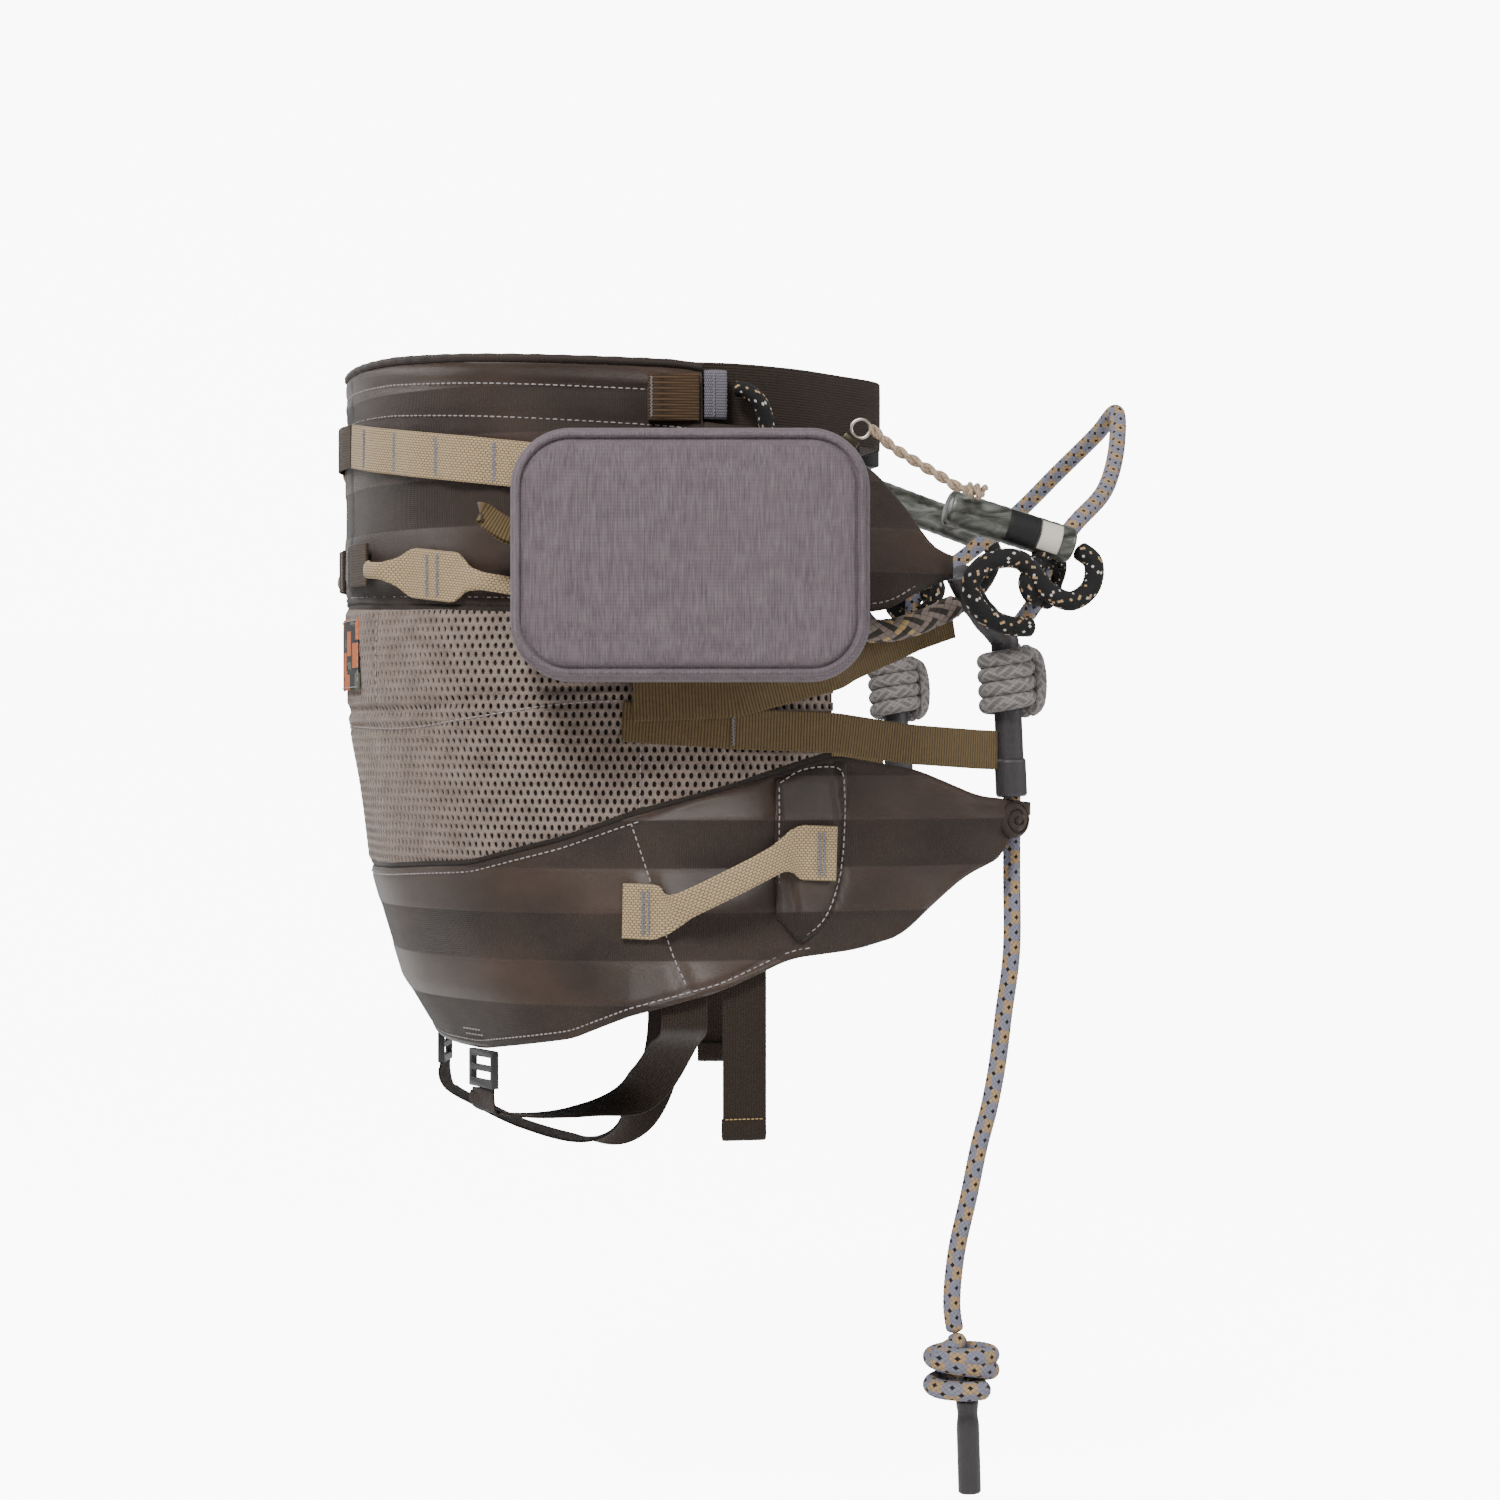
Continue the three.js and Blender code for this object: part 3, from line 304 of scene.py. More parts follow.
def rope_finish(name, braid, palette, pattern, roughness=0.75):
    """A braid, darker where one strand dips under another, which is painted shade.

    The pattern is the order of the strands' colours, or a function that colours each crossing.
    """
    strands, lay = braid
    material, tree, shader = finish(name, palette[0], roughness, sheen=0.25)
    uv = node(tree, "UVMap", uv_map="UVMap")
    place = node(tree, "SeparateXYZ", (0, uv.outputs[0]))
    run = sums(tree, "DIVIDE", place.outputs[0], lay)
    cells = [sums(tree, "MULTIPLY", sums(tree, way, place.outputs[1], run), float(strands))
             for way in ("ADD", "SUBTRACT")]
    parity = sums(tree, "FLOORED_MODULO", sums(tree, "ADD", *(sums(tree, "FLOOR", c) for c in cells)), 2.0)
    indices = [sums(tree, "FLOORED_MODULO", sums(tree, "FLOOR", c), float(strands)) for c in cells]
    if callable(pattern):
        colours = [pattern(tree, *indices, strands, palette)] * 2
    else:
        colours = [strand_colour(tree, index, strands, pattern, palette) for index in indices]
    strand = node(tree, "Mix", ("Factor", parity), *zip("AB", colours), data_type="RGBA")
    shares = [sums(tree, "FRACT", c) for c in cells]
    width = node(tree, "Mix", ("Factor", parity), *zip("AB", shares))
    dip = sums(tree, "ABSOLUTE", sums(tree, "SUBTRACT", sums(tree, "MULTIPLY", width.outputs[0], 2.0), 1.0))
    # Painted shade: the colour darkens towards each strand's edges, where it dips under the next.
    painted_dip_shade = sums(tree, "SUBTRACT", 1.0, sums(tree, "MULTIPLY", sums(tree, "POWER", dip, 5.0), 0.65))
    fuzz = node(tree, "TexNoise", ("Scale", 900.0), ("Detail", 3.0))
    speck = sums(tree, "ADD", sums(tree, "MULTIPLY", fuzz.outputs[0], 0.6), 0.7)
    toned = node(tree, "VectorMath", (0, strand.outputs["Result"]), operation="SCALE")
    tree.links.new(sums(tree, "MULTIPLY", painted_dip_shade, speck), toned.inputs["Scale"])
    tree.links.new(toned.outputs[0], shader.inputs["Base Color"])
    yarns = sums(tree, "SINE", sums(tree, "MULTIPLY", width.outputs[0], 25.0))
    raised(tree, shader, weighed(tree, (yarns, 0.5), (fuzz.outputs[0], 1)), 0.35, 0.0004)
    return material


BRIDGE_ROPE = 10 * MM
BRIDGE_BRAID = (12, 34 * MM)
GREY, BLACK, GOLD = (0.23, 0.23, 0.29), (0.012, 0.011, 0.011), (0.42, 0.28, 0.15)
bridge_finish = rope_finish(
    "bridge_rope_braid", BRIDGE_BRAID, (GREY, BLACK, GOLD), patch_colour
)
BRAID_STEP = 0.7 * MM
bridge_points = [
    (211.5, -112.5, -106), (215, -126, -98), (218.5, -139.5, -87), (220, -141.5, -77),
    (229, -131, -63), (247.5, -114, -45), (280, -70, -21), (303, -22, 12), (309, 0, 31),
    (305, 25, 20), (292, 60, 0), (275, 100, -25), (247, 128, -52), (229, 136, -66),
    (220, 141.5, -77), (218.5, 139.5, -87), (214.5, 129, -98), (211.5, 123.5, -106),
]
bridge_route = smooth_route(np.array(bridge_points) * MM, BRAID_STEP)
bridge = braided_rope(
    "bridge_rope_braid", bridge_route, BRIDGE_ROPE, BRIDGE_BRAID, bridge_finish,
    "bridge", ["bridge_rope"],
)

# ---- Free end of the bridge rope, its stopper knot and taped end -----------------------------
# The rope's spare length hangs from the right hip loop. A double overhand stopper keeps it
# from running out, and the cut end is sealed in black tubing.
tail_points = [
    (211.5, -112.2, -111.5), (211.8, -110.8, -125), (212.6, -109.4, -160), (211.8, -110, -200),
    (210.5, -114, -240), (210, -115, -289), (205.5, -115, -323), (202, -115, -350),
    (197, -115, -376), (191, -115, -398), (185, -115, -426), (177.5, -115, -459),
    (175, -115, -488), (177, -115, -503.5),
]
tail_route = smooth_route(np.array(tail_points) * MM, BRAID_STEP)
tail = braided_rope(
    "rope_tail_braid", tail_route, BRIDGE_ROPE, BRIDGE_BRAID, bridge_finish,
    "saddle", ["bridge_rope_tail"],
)
KNOT = Vector((180.5, -115, -522.5)) * MM
knot_turns = [(-2, 0, 18), (-4, -3, 13)]
for k in range(19):
    angle = math.radians(-150 + 45 * k)
    drop = 10.5 - 21 * k / 18
    knot_turns.append((16.5 * math.cos(angle), 13.5 * math.sin(angle), drop + 3.2 * math.sin(angle / 2)))
knot_turns += [(8, 2, -13), (3.5, 0, -19)]
knot_route = smooth_route(np.array(knot_turns) * MM + np.array(KNOT), BRAID_STEP)
knot = braided_rope(
    "stopper_knot_wraps", knot_route, 11 * MM, BRIDGE_BRAID, bridge_finish,
    "saddle", ["stopper_knot"],
)
core_route = smooth_route(
    np.array([(-3, 0, 19), (-2, 0, 8), (2, 0, -6), (3.5, 0, -18)]) * MM + np.array(KNOT), BRAID_STEP
)
knot_core = braided_rope(
    "stopper_knot_core", core_route, BRIDGE_ROPE, BRIDGE_BRAID, bridge_finish,
    "saddle", [],
)


def smooth_tube(name, route, radius, sides, material, body, cad):
    """A tube with a radius for each point of its route, and rounded ends."""
    out, _ = round_the_route(route, sides)
    rings = route[:, None, :] + out * np.broadcast_to(radius, len(route))[:, None, None]
    girth = np.arange(sides + 1) / sides * 2 * np.pi * float(np.max(radius))
    return loft(name, rings, length_along(route), girth, material, body, cad)


def rounded_ends(route, radius, edge):
    """A radius that closes in over the last stretch, edge long, at both ends."""
    run = length_along(route)
    near = np.clip(np.minimum(run, run[-1] - run) / edge, 0.03, 1)
    return radius - edge * (1 - np.sqrt(1 - (1 - near) ** 2))


def tubing_finish(name, colour, roughness, wrinkle):
    """Shrink tubing: satin plastic with faint lengthwise wrinkles and scuffs."""
    material, tree, shader = finish(name, colour, roughness, coat=0.05)
    uv = node(tree, "UVMap", uv_map="UVMap")
    stretch = node(tree, "Mapping", ("Vector", uv.outputs[0]), ("Scale", (60, 500, 1)))
    wrinkles = node(tree, "TexNoise", ("Vector", stretch.outputs[0]), ("Scale", 1.0), ("Detail", 4.0))
    scuffs = node(tree, "TexNoise", ("Scale", 260.0), ("Detail", 6.0))
    scuffed = [min(1, 2.6 * c + 0.02) for c in colour]
    worn = colours_along(tree, scuffs.outputs[0], [(0.45, colour), (0.8, scuffed)])
    tree.links.new(worn, shader.inputs["Base Color"])
    height = weighed(tree, (wrinkles.outputs[0], 1), (scuffs.outputs[0], 0.3))
    raised(tree, shader, height, wrinkle, 0.0006)
    return material


black_tubing = tubing_finish("black_tubing", (0.022, 0.019, 0.021), 0.42, 0.5)
low, high = (np.array(c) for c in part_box("rope_end_sleeve"))
middle = (low + high) / 2
end_route = np.linspace((middle[0], middle[1], high[2]), (middle[0] + 1.5 * MM, middle[1], low[2]), 60)
end_radius = rounded_ends(end_route, (high[0] - low[0]) / 2, 1.2 * MM)
end_radius = end_radius * (1 - 0.12 * np.exp(-(((end_route[:, 2] - high[2] + 8 * MM) / (4 * MM)) ** 2)))
end_sleeve = smooth_tube(
    "rope_end_tubing", end_route, end_radius, 40, black_tubing, "saddle",
    ["rope_end_sleeve"],
)

# ---- Friction hitch cords: black flecked cord with a sewn eye in a printed sleeve ------------
# Each cord is sewn to itself inside a satin sleeve, wraps the bridge rope and grips it, so
# that the bridge's length can be set.
HITCH_CORD = 11 * MM
HITCH_BRAID = (16, 36 * MM)
WHITE = (0.62, 0.58, 0.52)
black_cord_finish = rope_finish(
    "black_flecked_braid", HITCH_BRAID, (BLACK, GOLD, WHITE), fleck_colour
)
hitch_points = {
    "right": [
        (238.8, -146, -60), (248, -148, -68), (246, -150, -82), (234, -152, -90), (221, -151.6, -85),
        (213, -152.5, -76), (204, -155, -68), (192, -157, -67), (180, -157, -72), (174, -157, -84),
        (181, -157, -97), (196, -156, -104), (212, -154, -105),
    ],
    "left": [
        (265.2, 142, -35.1), (273, 143, -46), (268, 146, -64), (252, 149, -80), (236, 152, -89),
        (221, 151.2, -85), (213, 152.5, -76), (204, 155, -68), (192, 157, -67), (180, 157, -72),
        (174, 157, -84), (181, 157, -97), (196, 156, -104), (212, 154, -105),
    ],
}
sleeve_ends = {
    "right": ((164, -146, -38), (236, -146, -59)),
    "left": ((192, 142, -9.5), (262, 142, -34)),
}
EYE_SLEEVE = 21 * MM


def camouflage_finish():
    """Satin sleeve printed with soft grey-green and dark brush strokes."""
    material, tree, shader = finish("printed_sleeve", (0.16, 0.17, 0.15), 0.33, coat=0.25)
    place = node(tree, "TexCoord")
    stretch = node(tree, "Mapping", ("Vector", place.outputs["Object"]), ("Scale", (40, 90, 130)))
    blots = node(tree, "TexNoise", ("Vector", stretch.outputs[0]), ("Scale", 1.0), ("Detail", 5.0),
                 ("Distortion", 1.2))
    print_colours = colours_along(tree, blots.outputs[0], [
        (0.36, (0.016, 0.016, 0.013)), (0.46, (0.052, 0.053, 0.042)),
        (0.55, (0.095, 0.100, 0.088)), (0.70, (0.205, 0.205, 0.195)),
    ])
    tree.links.new(print_colours, shader.inputs["Base Color"])
    fine = node(tree, "TexNoise", ("Scale", 500.0))
    raised(tree, shader, fine.outputs[0], 0.12, 0.0005)
    return material


printed_sleeve = camouflage_finish()


def label_patch(name, route, radius, middle_angle, half_angle, material, body):
    """A thin label that wraps part of the way round a tube."""
    out, _ = round_the_route(route, 180)
    picks = (np.arange(middle_angle - half_angle, middle_angle + half_angle + 1, 4) // 2) % 180
    rings = []
    for centre, ring in zip(route, out):
        outside = centre + ring[picks] * (radius + 0.45 * MM)
        inside = centre + ring[picks] * (radius - 0.2 * MM)
        rings.append(np.vstack([outside, inside[::-1]]))
    rings = np.array(rings)
    return loft(name, rings, length_along(route), np.linspace(0, 0.05, rings.shape[1] + 1), material, body)


def label_finish(name, colour):
    material, tree, shader = finish(name, colour, 0.55)
    weave = node(tree, "TexNoise", ("Scale", 1500.0), ("Detail", 2.0))
    raised(tree, shader, weave.outputs[0], 0.3, 0.0003)
    return material


black_label = label_finish("black_label", (0.014, 0.014, 0.014))
cream_label = label_finish("cream_label", (0.62, 0.58, 0.50))
for side, word in SIDES:
    route = smooth_route(np.array(hitch_points[word]) * MM, BRAID_STEP)
    ends = np.array(sleeve_ends[word]) * MM
    line = np.linspace(*ends, 70)
    radius = rounded_ends(line, EYE_SLEEVE / 2 - 0.3 * MM, 2.2 * MM)
    radius = radius * (1 + 0.012 * np.sin(np.arange(70) * 0.9))
    sleeve = smooth_tube(
        f"eye_sleeve_print_{word}", line, radius, 56, printed_sleeve, "bridge",
        [f"eye_sleeve_{word}"],
    )
    facing = 90 if word == "right" else 270
    for kind, material, share, half in (
        ("black_label", black_label, (0.46, 0.70), 58), ("cream_label", cream_label, (0.715, 0.88), 50),
    ):
        stretch = np.linspace(ends[0] + (ends[1] - ends[0]) * share[0],
                              ends[0] + (ends[1] - ends[0]) * share[1], 12)
        label_patch(f"{kind}_{word}", stretch, EYE_SLEEVE / 2 - 0.3 * MM, facing, half, material, "bridge")
    cord = braided_rope(
        f"hitch_cord_braid_{word}", route, HITCH_CORD, HITCH_BRAID, black_cord_finish,
        "bridge", [f"hitch_cord_{word}"],
    )
    # The part of the hitch that wraps the bridge rope, behind the cord's visible lobes.
    grip = smooth_route(
        np.array([(x, side * y, z) for x, y, z in (
            (214, 150, -66), (226, 141, -62), (233, 131, -70), (226, 136, -84), (214, 146, -88),
            (208, 152, -80), (214, 149, -70), (224, 139, -70), (229, 135, -80), (220, 147, -92),
        )]) * MM, BRAID_STEP)
    braided_rope(f"hitch_grip_braid_{word}", grip, 9.5 * MM, HITCH_BRAID, black_cord_finish,
                 "bridge", [])

# ---- Hip loops: rope inside smooth black tubing, between the two panels ----------------------
# The rope inside can't be seen. The tubing is heat-shrunk over it, and a shrunk cuff holds it
# where it goes into the seat panel's tip.
SLEEVE_TUBE = 16 * MM
HITCH_TOP, SHEATH_FOOT = np.array([202, 129.2, -112]) * MM, np.array([207, 126, -199.6]) * MM
for side, word in SIDES:
    mirror = np.array([1, side, 1])
    points = [np.array(p) * MM for p in ((171.4, 141.4, -74), (181, 134.5, -88), (191, 131, -99.5))]
    points += [HITCH_TOP + (SHEATH_FOOT - HITCH_TOP) * f for f in (0, 0.04, 0.3, 0.7, 1)]
    route = smooth_route(np.array(points) * mirror, 1.2 * MM)
    run = length_along(route)
    radius = rounded_ends(route, SLEEVE_TUBE / 2 - 0.2 * MM, 1.5 * MM)
    radius += 0.25 * MM * np.sin(run * 420) * np.exp(-(((run - 0.03) / 0.015) ** 2))
    smooth_tube(
        f"hip_loop_tubing_{word}", route, radius, 48, black_tubing, "saddle",
        [f"bridge_sheath_{word}"],
    )
    cuff = route[run > run[-1] - 0.022]
    smooth_tube(f"hip_loop_cuff_{word}", cuff, rounded_ends(cuff, SLEEVE_TUBE / 2 + 0.9 * MM, 1.2 * MM),
                48, black_tubing, "saddle", [])

# ---- Braided hitches: pale grey hollow cord wrapped round the hip loops' tubing --------------
# The cord is a soft braid of two greys. Four wraps and a bight lie flat on the tubing, and the
# hitch slides a little along it.
GREY_BRAID = (12, 34 * MM)
pale_cord_finish = rope_finish(
    "pale_grey_braid", GREY_BRAID, ((0.255, 0.232, 0.225), (0.15, 0.135, 0.13)),
    (0, 1, 0, 0, 1, 0, 0, 0, 1, 0, 0, 1),
)
WRAPS, WRAP_PITCH, WRAP_RADIUS = 4, 9.6 * MM, 11.7 * MM
TUBE_HITCH_CORD = 9.4 * MM
for side, word in SIDES:
    top, foot = HITCH_TOP * [1, side, 1], SHEATH_FOOT * [1, side, 1]
    down = unit(foot - top)
    centre = top + down * (4 * MM + WRAPS * WRAP_PITCH / 2)
    ahead = unit(np.array([1.0, 0, 0]) - down * down[0])
    sideways = np.cross(down, ahead)
    turns = np.linspace(0, WRAPS * 2 * np.pi, WRAPS * 16)
    drop = (turns / (2 * np.pi) - WRAPS / 2) * WRAP_PITCH * 0.86
    coil = (centre + np.outer(drop, down) + np.outer(np.cos(turns) * WRAP_RADIUS, ahead)
            + np.outer(np.sin(turns) * WRAP_RADIUS, sideways))
    bight = [centre + ahead * x * MM + down * z * MM for x, z in
             ((11, 17), (16.5, 13.5), (18.6, 5), (18.6, -6), (16.5, -13.5), (11, -16))]
    braided_rope(f"tube_hitch_wraps_{word}", smooth_route(coil, BRAID_STEP), TUBE_HITCH_CORD,
                 GREY_BRAID, pale_cord_finish, f"hitch_{word}", [f"tube_hitch_{word}"],
                 start=ahead)
    braided_rope(f"tube_hitch_bight_{word}", smooth_route(np.array(bight), BRAID_STEP), TUBE_HITCH_CORD,
                 GREY_BRAID, pale_cord_finish, f"hitch_{word}", [])

# ---- Lineman loops: black flecked rope from the waist anchor, then through a mesh sleeve -----
# The rope is sewn into the grey anchor, drops behind the pouch and ends in an open mesh sleeve
# that is drawn over it up to the hip loop.
LINEMAN_ROPE, LINEMAN_SLEEVE = 9 * MM, 13 * MM
SIDE_REACH, PANEL = 170 * MM, 5 * MM  # from the middle to the hips' side, and the padding there
rope_out = (SIDE_REACH + PANEL + LINEMAN_ROPE / 2) / MM + 0.6
lineman_points = [
    (36.5, 174, 22), (42, 176.5, 21.5), (50, rope_out, 14), (54, rope_out + 0.4, 0),
    (59, rope_out + 0.3, -40), (70, rope_out, -75), (84, 179, -97), (93, 177, -105),
    (101.4, 174.3, -107.2),
]
mesh_sleeve_points = [
    (102.6, 173.8, -107.3), (122, 166, -108), (142, 156, -104), (158, 147, -98), (171.4, 139.4, -92),
]
MESH_BRAID = (9, 60 * MM)
mesh_sleeve_finish = rope_finish(
    "open_mesh_sleeve", MESH_BRAID, ((0.17, 0.135, 0.115), (0.03, 0.025, 0.02), (0.34, 0.23, 0.11)),
    (0, 1, 0, 0, 1, 0, 2, 1, 0), roughness=0.85,
)
for side, word in SIDES:
    mirror = np.array([1, side, 1]) * MM
    route = smooth_route(np.array(lineman_points) * mirror, BRAID_STEP)
    rope = braided_rope(f"lineman_rope_braid_{word}", route, LINEMAN_ROPE, HITCH_BRAID,
                        black_cord_finish, "saddle", [f"lineman_rope_{word}"])
    sleeve_route = smooth_route(np.array(mesh_sleeve_points) * mirror, BRAID_STEP)
    sleeve = braided_rope(f"lineman_mesh_sleeve_{word}", sleeve_route, LINEMAN_SLEEVE, MESH_BRAID,
                          mesh_sleeve_finish, "saddle", [f"lineman_sleeve_{word}"])
    collar_route = np.linspace(sleeve_route[0] - (sleeve_route[4] - sleeve_route[0]),
                               sleeve_route[8], 20)
    collar = smooth_tube(f"lineman_collar_{word}", collar_route,
                         rounded_ends(collar_route, LINEMAN_SLEEVE / 2 + 0.6 * MM, 1 * MM), 36,
                         black_tubing, "saddle", [])

# ---- Waist panel: foam between two layers of banded brown nylon, 5 mm thick in all -----------
# It wraps the back of the waist, full height to just past the hips, and its lower half runs on
# to a narrow tongue at each hip loop. Rows of stitching pinch the foam.
BACK_REACH, TIP_REACH, TIP_SPREAD = 0.150, 0.218, 0.120
half_plan = [
    (-BACK_REACH, 0), (-0.94 * BACK_REACH, 0.365 * SIDE_REACH),
    (-0.667 * BACK_REACH, 0.765 * SIDE_REACH), (-0.133 * BACK_REACH, 0.976 * SIDE_REACH),
    (0.275 * TIP_REACH, SIDE_REACH), (0.642 * TIP_REACH, 0.894 * SIDE_REACH),
    (TIP_REACH, TIP_SPREAD),
]
plan = smooth_route([(x, -y, 0) for x, y in half_plan[:0:-1]] + [(x, y, 0) for x, y in half_plan], MM)
plan_out = unit(np.gradient(plan, axis=0))[:, [1, 0]] * (-1, 1)
GIRTH = length_along(plan)[-1] / 2
TAPER_FROM = -0.020
TAPER_HEIGHTS = (-0.345, -0.336, -0.305, -0.245, -0.150)
TAPER_SHARES = (0.58, 0.615, 0.754, 0.885, 1)


def hip(along, height, out):
    """Points on the hips: along is -1 at the right front tip, 0 at the back, 1 at the left tip."""
    along, height, out = np.broadcast_arrays(*(np.asarray(v, float) for v in (along, height, out)))
    place = (np.clip(along, -1, 1) + 1) / 2 * (len(plan) - 1)
    index = np.arange(len(plan))
    x, y = (np.interp(place, index, plan[:, k]) + np.interp(place, index, plan_out[:, k]) * out
            for k in (0, 1))
    share = np.interp(height, TAPER_HEIGHTS, TAPER_SHARES)
    return np.stack([np.where(x < TAPER_FROM, TAPER_FROM + (x - TAPER_FROM) * share, x), y, height], -1)


def line(points, soften=0.012):
    """A height or size that changes along the hips, the same on both sides, a little rounded."""
    at, value = np.array(points, float).T

    def read(along):
        along = np.abs(np.asarray(along, float))
        return np.mean([np.interp(np.abs(along + d), at, value) for d in (-soften, 0, soften)], axis=0) * MM

    return read


WAIST_FRONT, WAIST_TIP = 0.566, 0.883
waist_rim = line([(0, 42), (0.17, 42), (0.54, 34), (0.58, 31)])
waist_tongue = line([(0.5, 9), (0.57, 4), (0.667, 0), (0.71, -5), (0.773, -19), (0.83, -46), (0.845, -58),
                     (0.883, -66)])
waist_foot = line([(0, -90), (0.336, -95), (0.767, -98), (0.8, -95), (0.827, -87), (0.883, -77)])
rng = np.random.default_rng(7)
creases = [(rng.uniform(18, 70), rng.uniform(0, 2 * np.pi), rng.uniform(0, 6.3)) for _ in range(7)]


def crumple(across, up, amount):
    """Soft uneven swell of padded cloth, the same at every run."""
    total = sum(
        np.sin(rate * (np.cos(turn) * across + np.sin(turn) * up) * 1.3 + phase)
        for rate, turn, phase in creases
    )
    return total * amount / len(creases)


def pinch(distance, depth, width):
    return -depth * np.exp(-((distance / width) ** 2))


def distance_to(seams, along, up):
    """How far points laid out flat are from the nearest row of stitching."""
    nearest = np.full(np.shape(along), 1.0)
    across = np.abs(along) * GIRTH
    for seam in seams:
        for x, z in seam[::3]:
            nearest = np.minimum(nearest, np.hypot(across - x, up - z))
    return nearest


def flat_seam(points):
    """A row of stitching laid out flat, as (distance from the back, height) in metres."""
    route = smooth_route([(t * GIRTH, z * MM, 0) for t, z in points], MM)
    return route[:, :2]


def padded_panel(name, reach, top, bottom, relief, material, cad, rows=40, step=3 * MM, marks=()):
    """Foam between two cloths, closed all round, that thins out towards its bound edges."""
    along = np.arange(-reach * GIRTH, reach * GIRTH + step / 2, step) / GIRTH
    along = np.unique(np.concatenate([along, [-reach, reach], marks, [-m for m in marks]]))
    along = along[np.concatenate([[True], np.diff(along) > 2e-4])][:, None]
    share = (1 - np.cos(np.pi * np.arange(rows + 1) / rows))[None, :] / 2
    share = 0.5 * share + 0.5 * (np.arange(rows + 1) / rows)[None, :]
    low, high = bottom(along), top(along)
    up = low + (high - low) * share
    edge = np.minimum(np.minimum(up - low, high - up), (reach - np.abs(along)) * GIRTH)
    full = np.sqrt(1 - (1 - np.clip(edge / (4 * MM), 0.02, 1)) ** 2)
    front = PANEL / 2 + full * (PANEL / 2 + relief(along, up) * np.clip(edge / (6 * MM), 0, 1))
    back = PANEL / 2 * (1 - full)
    rings = np.concatenate([hip(along, up, front), hip(along, up, back)[:, ::-1]], axis=1)
    heights = np.concatenate([up, up[:, ::-1], up[:, :1]], axis=1)
    panel = loft(name, rings, along[:, 0] * GIRTH, heights, material, "saddle", cad)
    return panel


BAND = 50 * MM


def banded_nylon(name, light, dark, phase):
    """Heavy nylon woven in broad bands, satin and ribbed by turns, a little dusty and creased, with a
    painted sheen on the satin bands and painted shade in the creases.
    """
    material, tree, shader = finish(name, light, 0.62, sheen=0.35)
    shader.inputs["Specular IOR Level"].default_value = 0.36
    uv = node(tree, "UVMap", uv_map="UVMap")
    place = node(tree, "SeparateXYZ", (0, uv.outputs[0]))
    row = sums(tree, "DIVIDE", sums(tree, "ADD", place.outputs[1], phase), BAND)
    wave = sums(tree, "MULTIPLY", waves(tree, row, 1), 9.0)
    satin = sums(tree, "SMOOTH_MIN", sums(tree, "MAXIMUM", wave, 0.0), 1.0, 0.1)
    rib = waves(tree, place.outputs[0], 1.25 * MM)
    slant = weighed(tree, (place.outputs[0], 1), (place.outputs[1], 1.6))
    twill = waves(tree, slant, 0.9 * MM)
    weft = waves(tree, place.outputs[1], 1.1 * MM)
    ribbed = sums(tree, "MULTIPLY", rib, sums(tree, "ADD", sums(tree, "MULTIPLY", weft, 0.5), 0.5))
    weave = node(tree, "Mix", ("Factor", satin), ("A", ribbed), ("B", sums(tree, "MULTIPLY", twill, 0.4)))
    flat = node(tree, "Mapping", ("Vector", uv.outputs[0]), ("Scale", (14, 22, 1)))
    dust_and_crease_shade = node(tree, "TexNoise", ("Vector", flat.outputs[0]), ("Scale", 1.0), ("Detail", 6.0))
    mottle = node(tree, "TexNoise", ("Scale", 700.0), ("Detail", 2.0))
    # Painted light: the satin share paints the satin bands lighter as a sheen, and the crease noise, partly
    # dust, paints shade in the creases' hollows.
    tone = weighed(tree, (dust_and_crease_shade.outputs[0], 0.75), (weave.outputs[0], 0.10),
                   (mottle.outputs[0], 0.25), (satin, 0.16))
    shades = colours_along(tree, tone, [(0.32, dark), (0.86, light)])
    tree.links.new(shades, shader.inputs["Base Color"])
    rough = sums(tree, "SUBTRACT", 0.70, sums(tree, "MULTIPLY", satin, 0.32))
    tree.links.new(rough, shader.inputs["Roughness"])
    height = weighed(tree, (weave.outputs[0], 1), (dust_and_crease_shade.outputs[0], 6.0))
    raised(tree, shader, height, 0.45, 0.0005)
    return material


def row_of_stitches(first, last, height):
    """A row laid out flat, from one share of the girth to another; height is f(share)."""
    return np.array([(t * GIRTH, height(t)) for t in np.arange(first, last, 0.002)])


WAIST_BAND, SEAT_BAND = 26 * MM, 12 * MM
brown_nylon = banded_nylon(
    "banded_brown_nylon", (0.058, 0.0345, 0.0235), (0.0080, 0.0048, 0.0034), phase=WAIST_BAND
)
ROW_LENGTH = WAIST_FRONT - 0.012
rows_on_waist = [
    row_of_stitches(0, ROW_LENGTH, lambda t: waist_rim(t) - (11.5 + 4 * t) * MM),
    row_of_stitches(0, ROW_LENGTH, lambda t: waist_rim(t) - (27.5 + 10 * t) * MM),
    row_of_stitches(0.02, 0.84, lambda t: waist_foot(t) + 4.5 * MM),
]
back_seams = [flat_seam([(0.032, z) for z in (38, 0, -40, -84)])]


def band_swell(up, phase):
    """The satin bands stand a little proud of the ribbed ones."""
    return 0.35 * MM * np.tanh(6 * np.sin((up + phase) * 2 * np.pi / BAND))


def waist_top(along):
    return np.where(np.abs(along) < WAIST_FRONT + 2e-4, waist_rim(along), waist_tongue(along))


def waist_relief(along, up):
    seams = pinch(distance_to(rows_on_waist + back_seams, along, up), 1.3 * MM, 2.6 * MM)
    return seams + band_swell(up, WAIST_BAND) + crumple(along * GIRTH, up, 1.9 * MM)


padded_panel("waist_panel_cloth", WAIST_TIP, waist_top, waist_foot, waist_relief, brown_nylon,
             ["waist_panel"], marks=(WAIST_FRONT, WAIST_FRONT + 5e-4))


